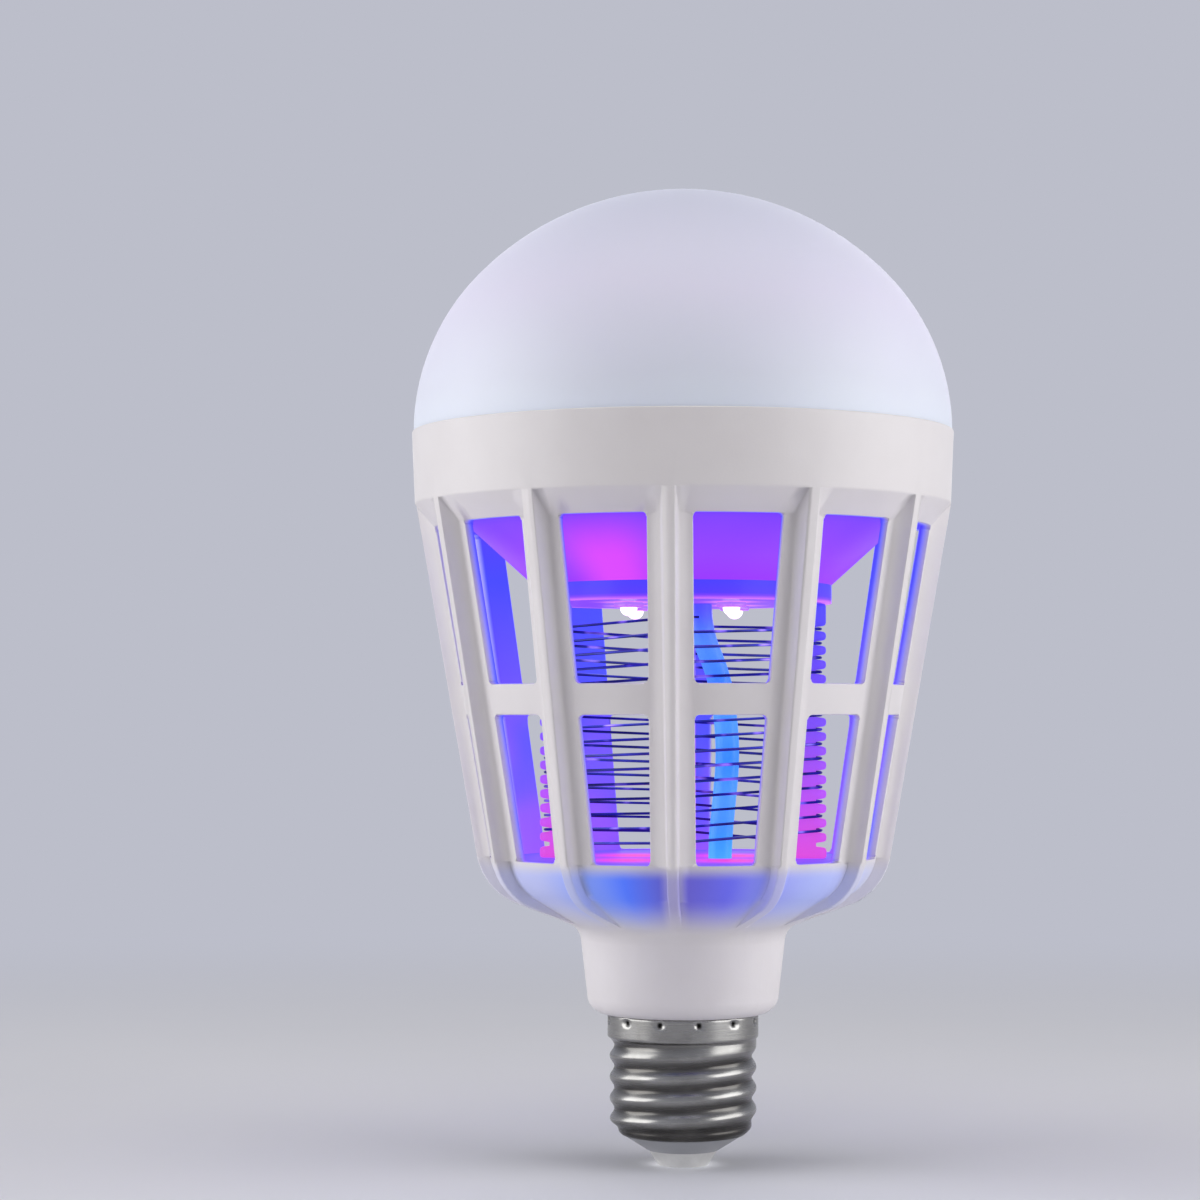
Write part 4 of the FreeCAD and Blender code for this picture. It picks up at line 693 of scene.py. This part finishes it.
def build_lamps():
    """Lamps with a square base, a rim and a round lens, modelled once and copied round the hub."""
    deselect_all()
    bpy.ops.mesh.primitive_cube_add(size=LAMP_WIDTH, location=(0, 0, HUB_BOTTOM - LAMP_BASE / 2))
    base = bpy.context.object
    base.scale = (1, 1, LAMP_BASE / LAMP_WIDTH)
    start_piece("lamp_base")
    edge = base.modifiers.new("edge", "BEVEL")
    edge.width = LAMP_EDGE
    edge.segments = 2
    bpy.ops.object.modifier_apply(modifier=edge.name)
    deselect_all()
    bpy.ops.mesh.primitive_uv_sphere_add(
        segments=LENS_SIDES, ring_count=LENS_RINGS, radius=LAMP_LENS_RADIUS,
        location=(0, 0, HUB_BOTTOM - LAMP_BASE))
    start_piece("lamp_lens")
    bpy.ops.object.mode_set(mode="EDIT")
    bpy.ops.mesh.select_all(action="SELECT")
    bpy.ops.mesh.bisect(
        plane_co=(0, 0, HUB_BOTTOM - LAMP_BASE + LENS_SEAT), plane_no=(0, 0, 1),
        clear_outer=True, use_fill=True)
    bpy.ops.object.mode_set(mode="OBJECT")
    base.select_set(True)
    bpy.context.view_layer.objects.active = base
    bpy.ops.object.join()
    copies = []
    for spot_x, spot_y in LAMP_SPOTS:
        lamp_copy = base.copy()
        lamp_copy.data = base.data.copy()
        bpy.context.scene.collection.objects.link(lamp_copy)
        turn = Matrix.Rotation(math.atan2(spot_y, spot_x), 4, "Z")
        lamp_copy.data.transform(Matrix.Translation((spot_x, spot_y, 0)) @ turn)
        copies.append(lamp_copy)
    bpy.data.objects.remove(base)
    make_active(copies[0])
    for lamp_copy in copies:
        lamp_copy.select_set(True)
    bpy.ops.object.join()
    copies[0].name = "ultraviolet_lamps_lit"
    finish_piece(copies[0], "ultraviolet_lamps", "ultraviolet_lamps", MOULDED_ANGLE)


build_housing()
build_posts()
build_shell()
build_lamps()


# Studio

BACKDROP = "#BCBECA"
FLOOR_RADIUS = 6.0
FADE_START = 0.12
FADE_END = 0.55
LIGHT_AIM = 85 * MM


def studio_floor():
    """Pale matt floor that runs into the backdrop's colour away from the object."""
    material = new_material("studio_floor_matt")
    point = add(material, "TexCoord", out="Object")
    shade = add(material, "TexNoise", {"Vector": point, "Scale": 1 / (60 * MM), "Detail": 3.0}, out="Fac")
    colour = add(material, "Mix", {0: shade, 6: "#E4E4EA", 7: "#E0E1E8"}, **COLOURS)
    matt = {"Base Color": colour, "Roughness": 0.9, "Specular IOR Level": 0.1}
    near = add(material, "BsdfPrincipled", matt)
    far = add(material, "Emission", [BACKDROP, 1.0])
    camera_ray = add(material, "LightPath", out="Is Camera Ray")
    away = add(material, "MapRange", [reach_of(material, point), FADE_START, FADE_END], **SMOOTH)
    share = add(material, "Math", [away, camera_ray], operation="MULTIPLY")
    add(material, "OutputMaterial", [add(material, "MixShader", [share, near, far])])
    deselect_all()
    bpy.ops.mesh.primitive_circle_add(vertices=96, radius=FLOOR_RADIUS, fill_type="NGON")
    floor = start_piece("studio_floor")
    dress(floor, material)
    deselect_all()


def studio_world():
    """Dim even light all round, with the backdrop's colour where the camera, metal or glass sees it."""
    world = bpy.data.worlds.new("studio_world")
    bpy.context.scene.world = world
    world.use_nodes = True
    world.node_tree.nodes.clear()
    seen = add(world, "Background", [BACKDROP, 1.0])
    lit = add(world, "Background", ["#F6F3F2", 0.155])
    share = add(world, "LightPath", out="Is Camera Ray")
    for ray in ("Is Glossy Ray", "Is Transmission Ray"):
        share = add(world, "Math", [share, add(world, "LightPath", out=ray)], operation="MAXIMUM")
    add(world, "OutputWorld", [add(world, "MixShader", [share, lit, seen])])


def softbox(name, place, size, power):
    """Rectangular soft light that is turned to the bulb at half its height."""
    light = bpy.data.lights.new(name, "AREA")
    light.shape = "RECTANGLE"
    light.size, light.size_y = size
    light.energy = power
    box = bpy.data.objects.new(name, light)
    bpy.context.scene.collection.objects.link(box)
    box.location = place
    towards = Vector((0, 0, LIGHT_AIM)) - Vector(place)
    box.rotation_euler = towards.to_track_quat("-Z", "Y").to_euler()


def studio_camera():
    """Camera where the photograph's stood, level with the cage, turned to the photograph's frame."""
    camera = bpy.data.objects.new("photo_camera", bpy.data.cameras.new("photo_camera"))
    bpy.context.scene.collection.objects.link(camera)
    camera.data.sensor_width = 36
    camera.data.lens = FOCAL_PIXELS / PHOTO_SIZE * camera.data.sensor_width
    camera.data.clip_start = 0.01
    camera.data.clip_end = 50
    aside = CAMERA_DISTANCE * math.sin(CAMERA_TURN)
    back = CAMERA_DISTANCE * math.cos(CAMERA_TURN)
    camera.location = (aside, -back, CAMERA_HEIGHT)
    turn = CAMERA_TURN + math.atan((AXIS_PIXEL - PHOTO_SIZE / 2) / FOCAL_PIXELS)
    lift = math.atan((HORIZON_PIXEL - PHOTO_SIZE / 2) / FOCAL_PIXELS)
    camera.rotation_euler = (math.pi / 2 + lift, 0, turn)
    bpy.context.scene.camera = camera


studio_floor()
studio_world()
softbox("left_softbox", (-0.67, -0.14, 0.22), (0.75, 0.6), 4.0)
softbox("right_softbox", (0.67, -0.14, 0.22), (0.75, 0.6), 4.0)
softbox("top_softbox", (0.0, -0.15, 0.75), (0.5, 0.5), 1.5)
softbox("back_softbox", (0.0, 0.75, 0.35), (0.6, 0.5), 0.7)
studio_camera()
bpy.context.scene.view_settings.view_transform = "Standard"
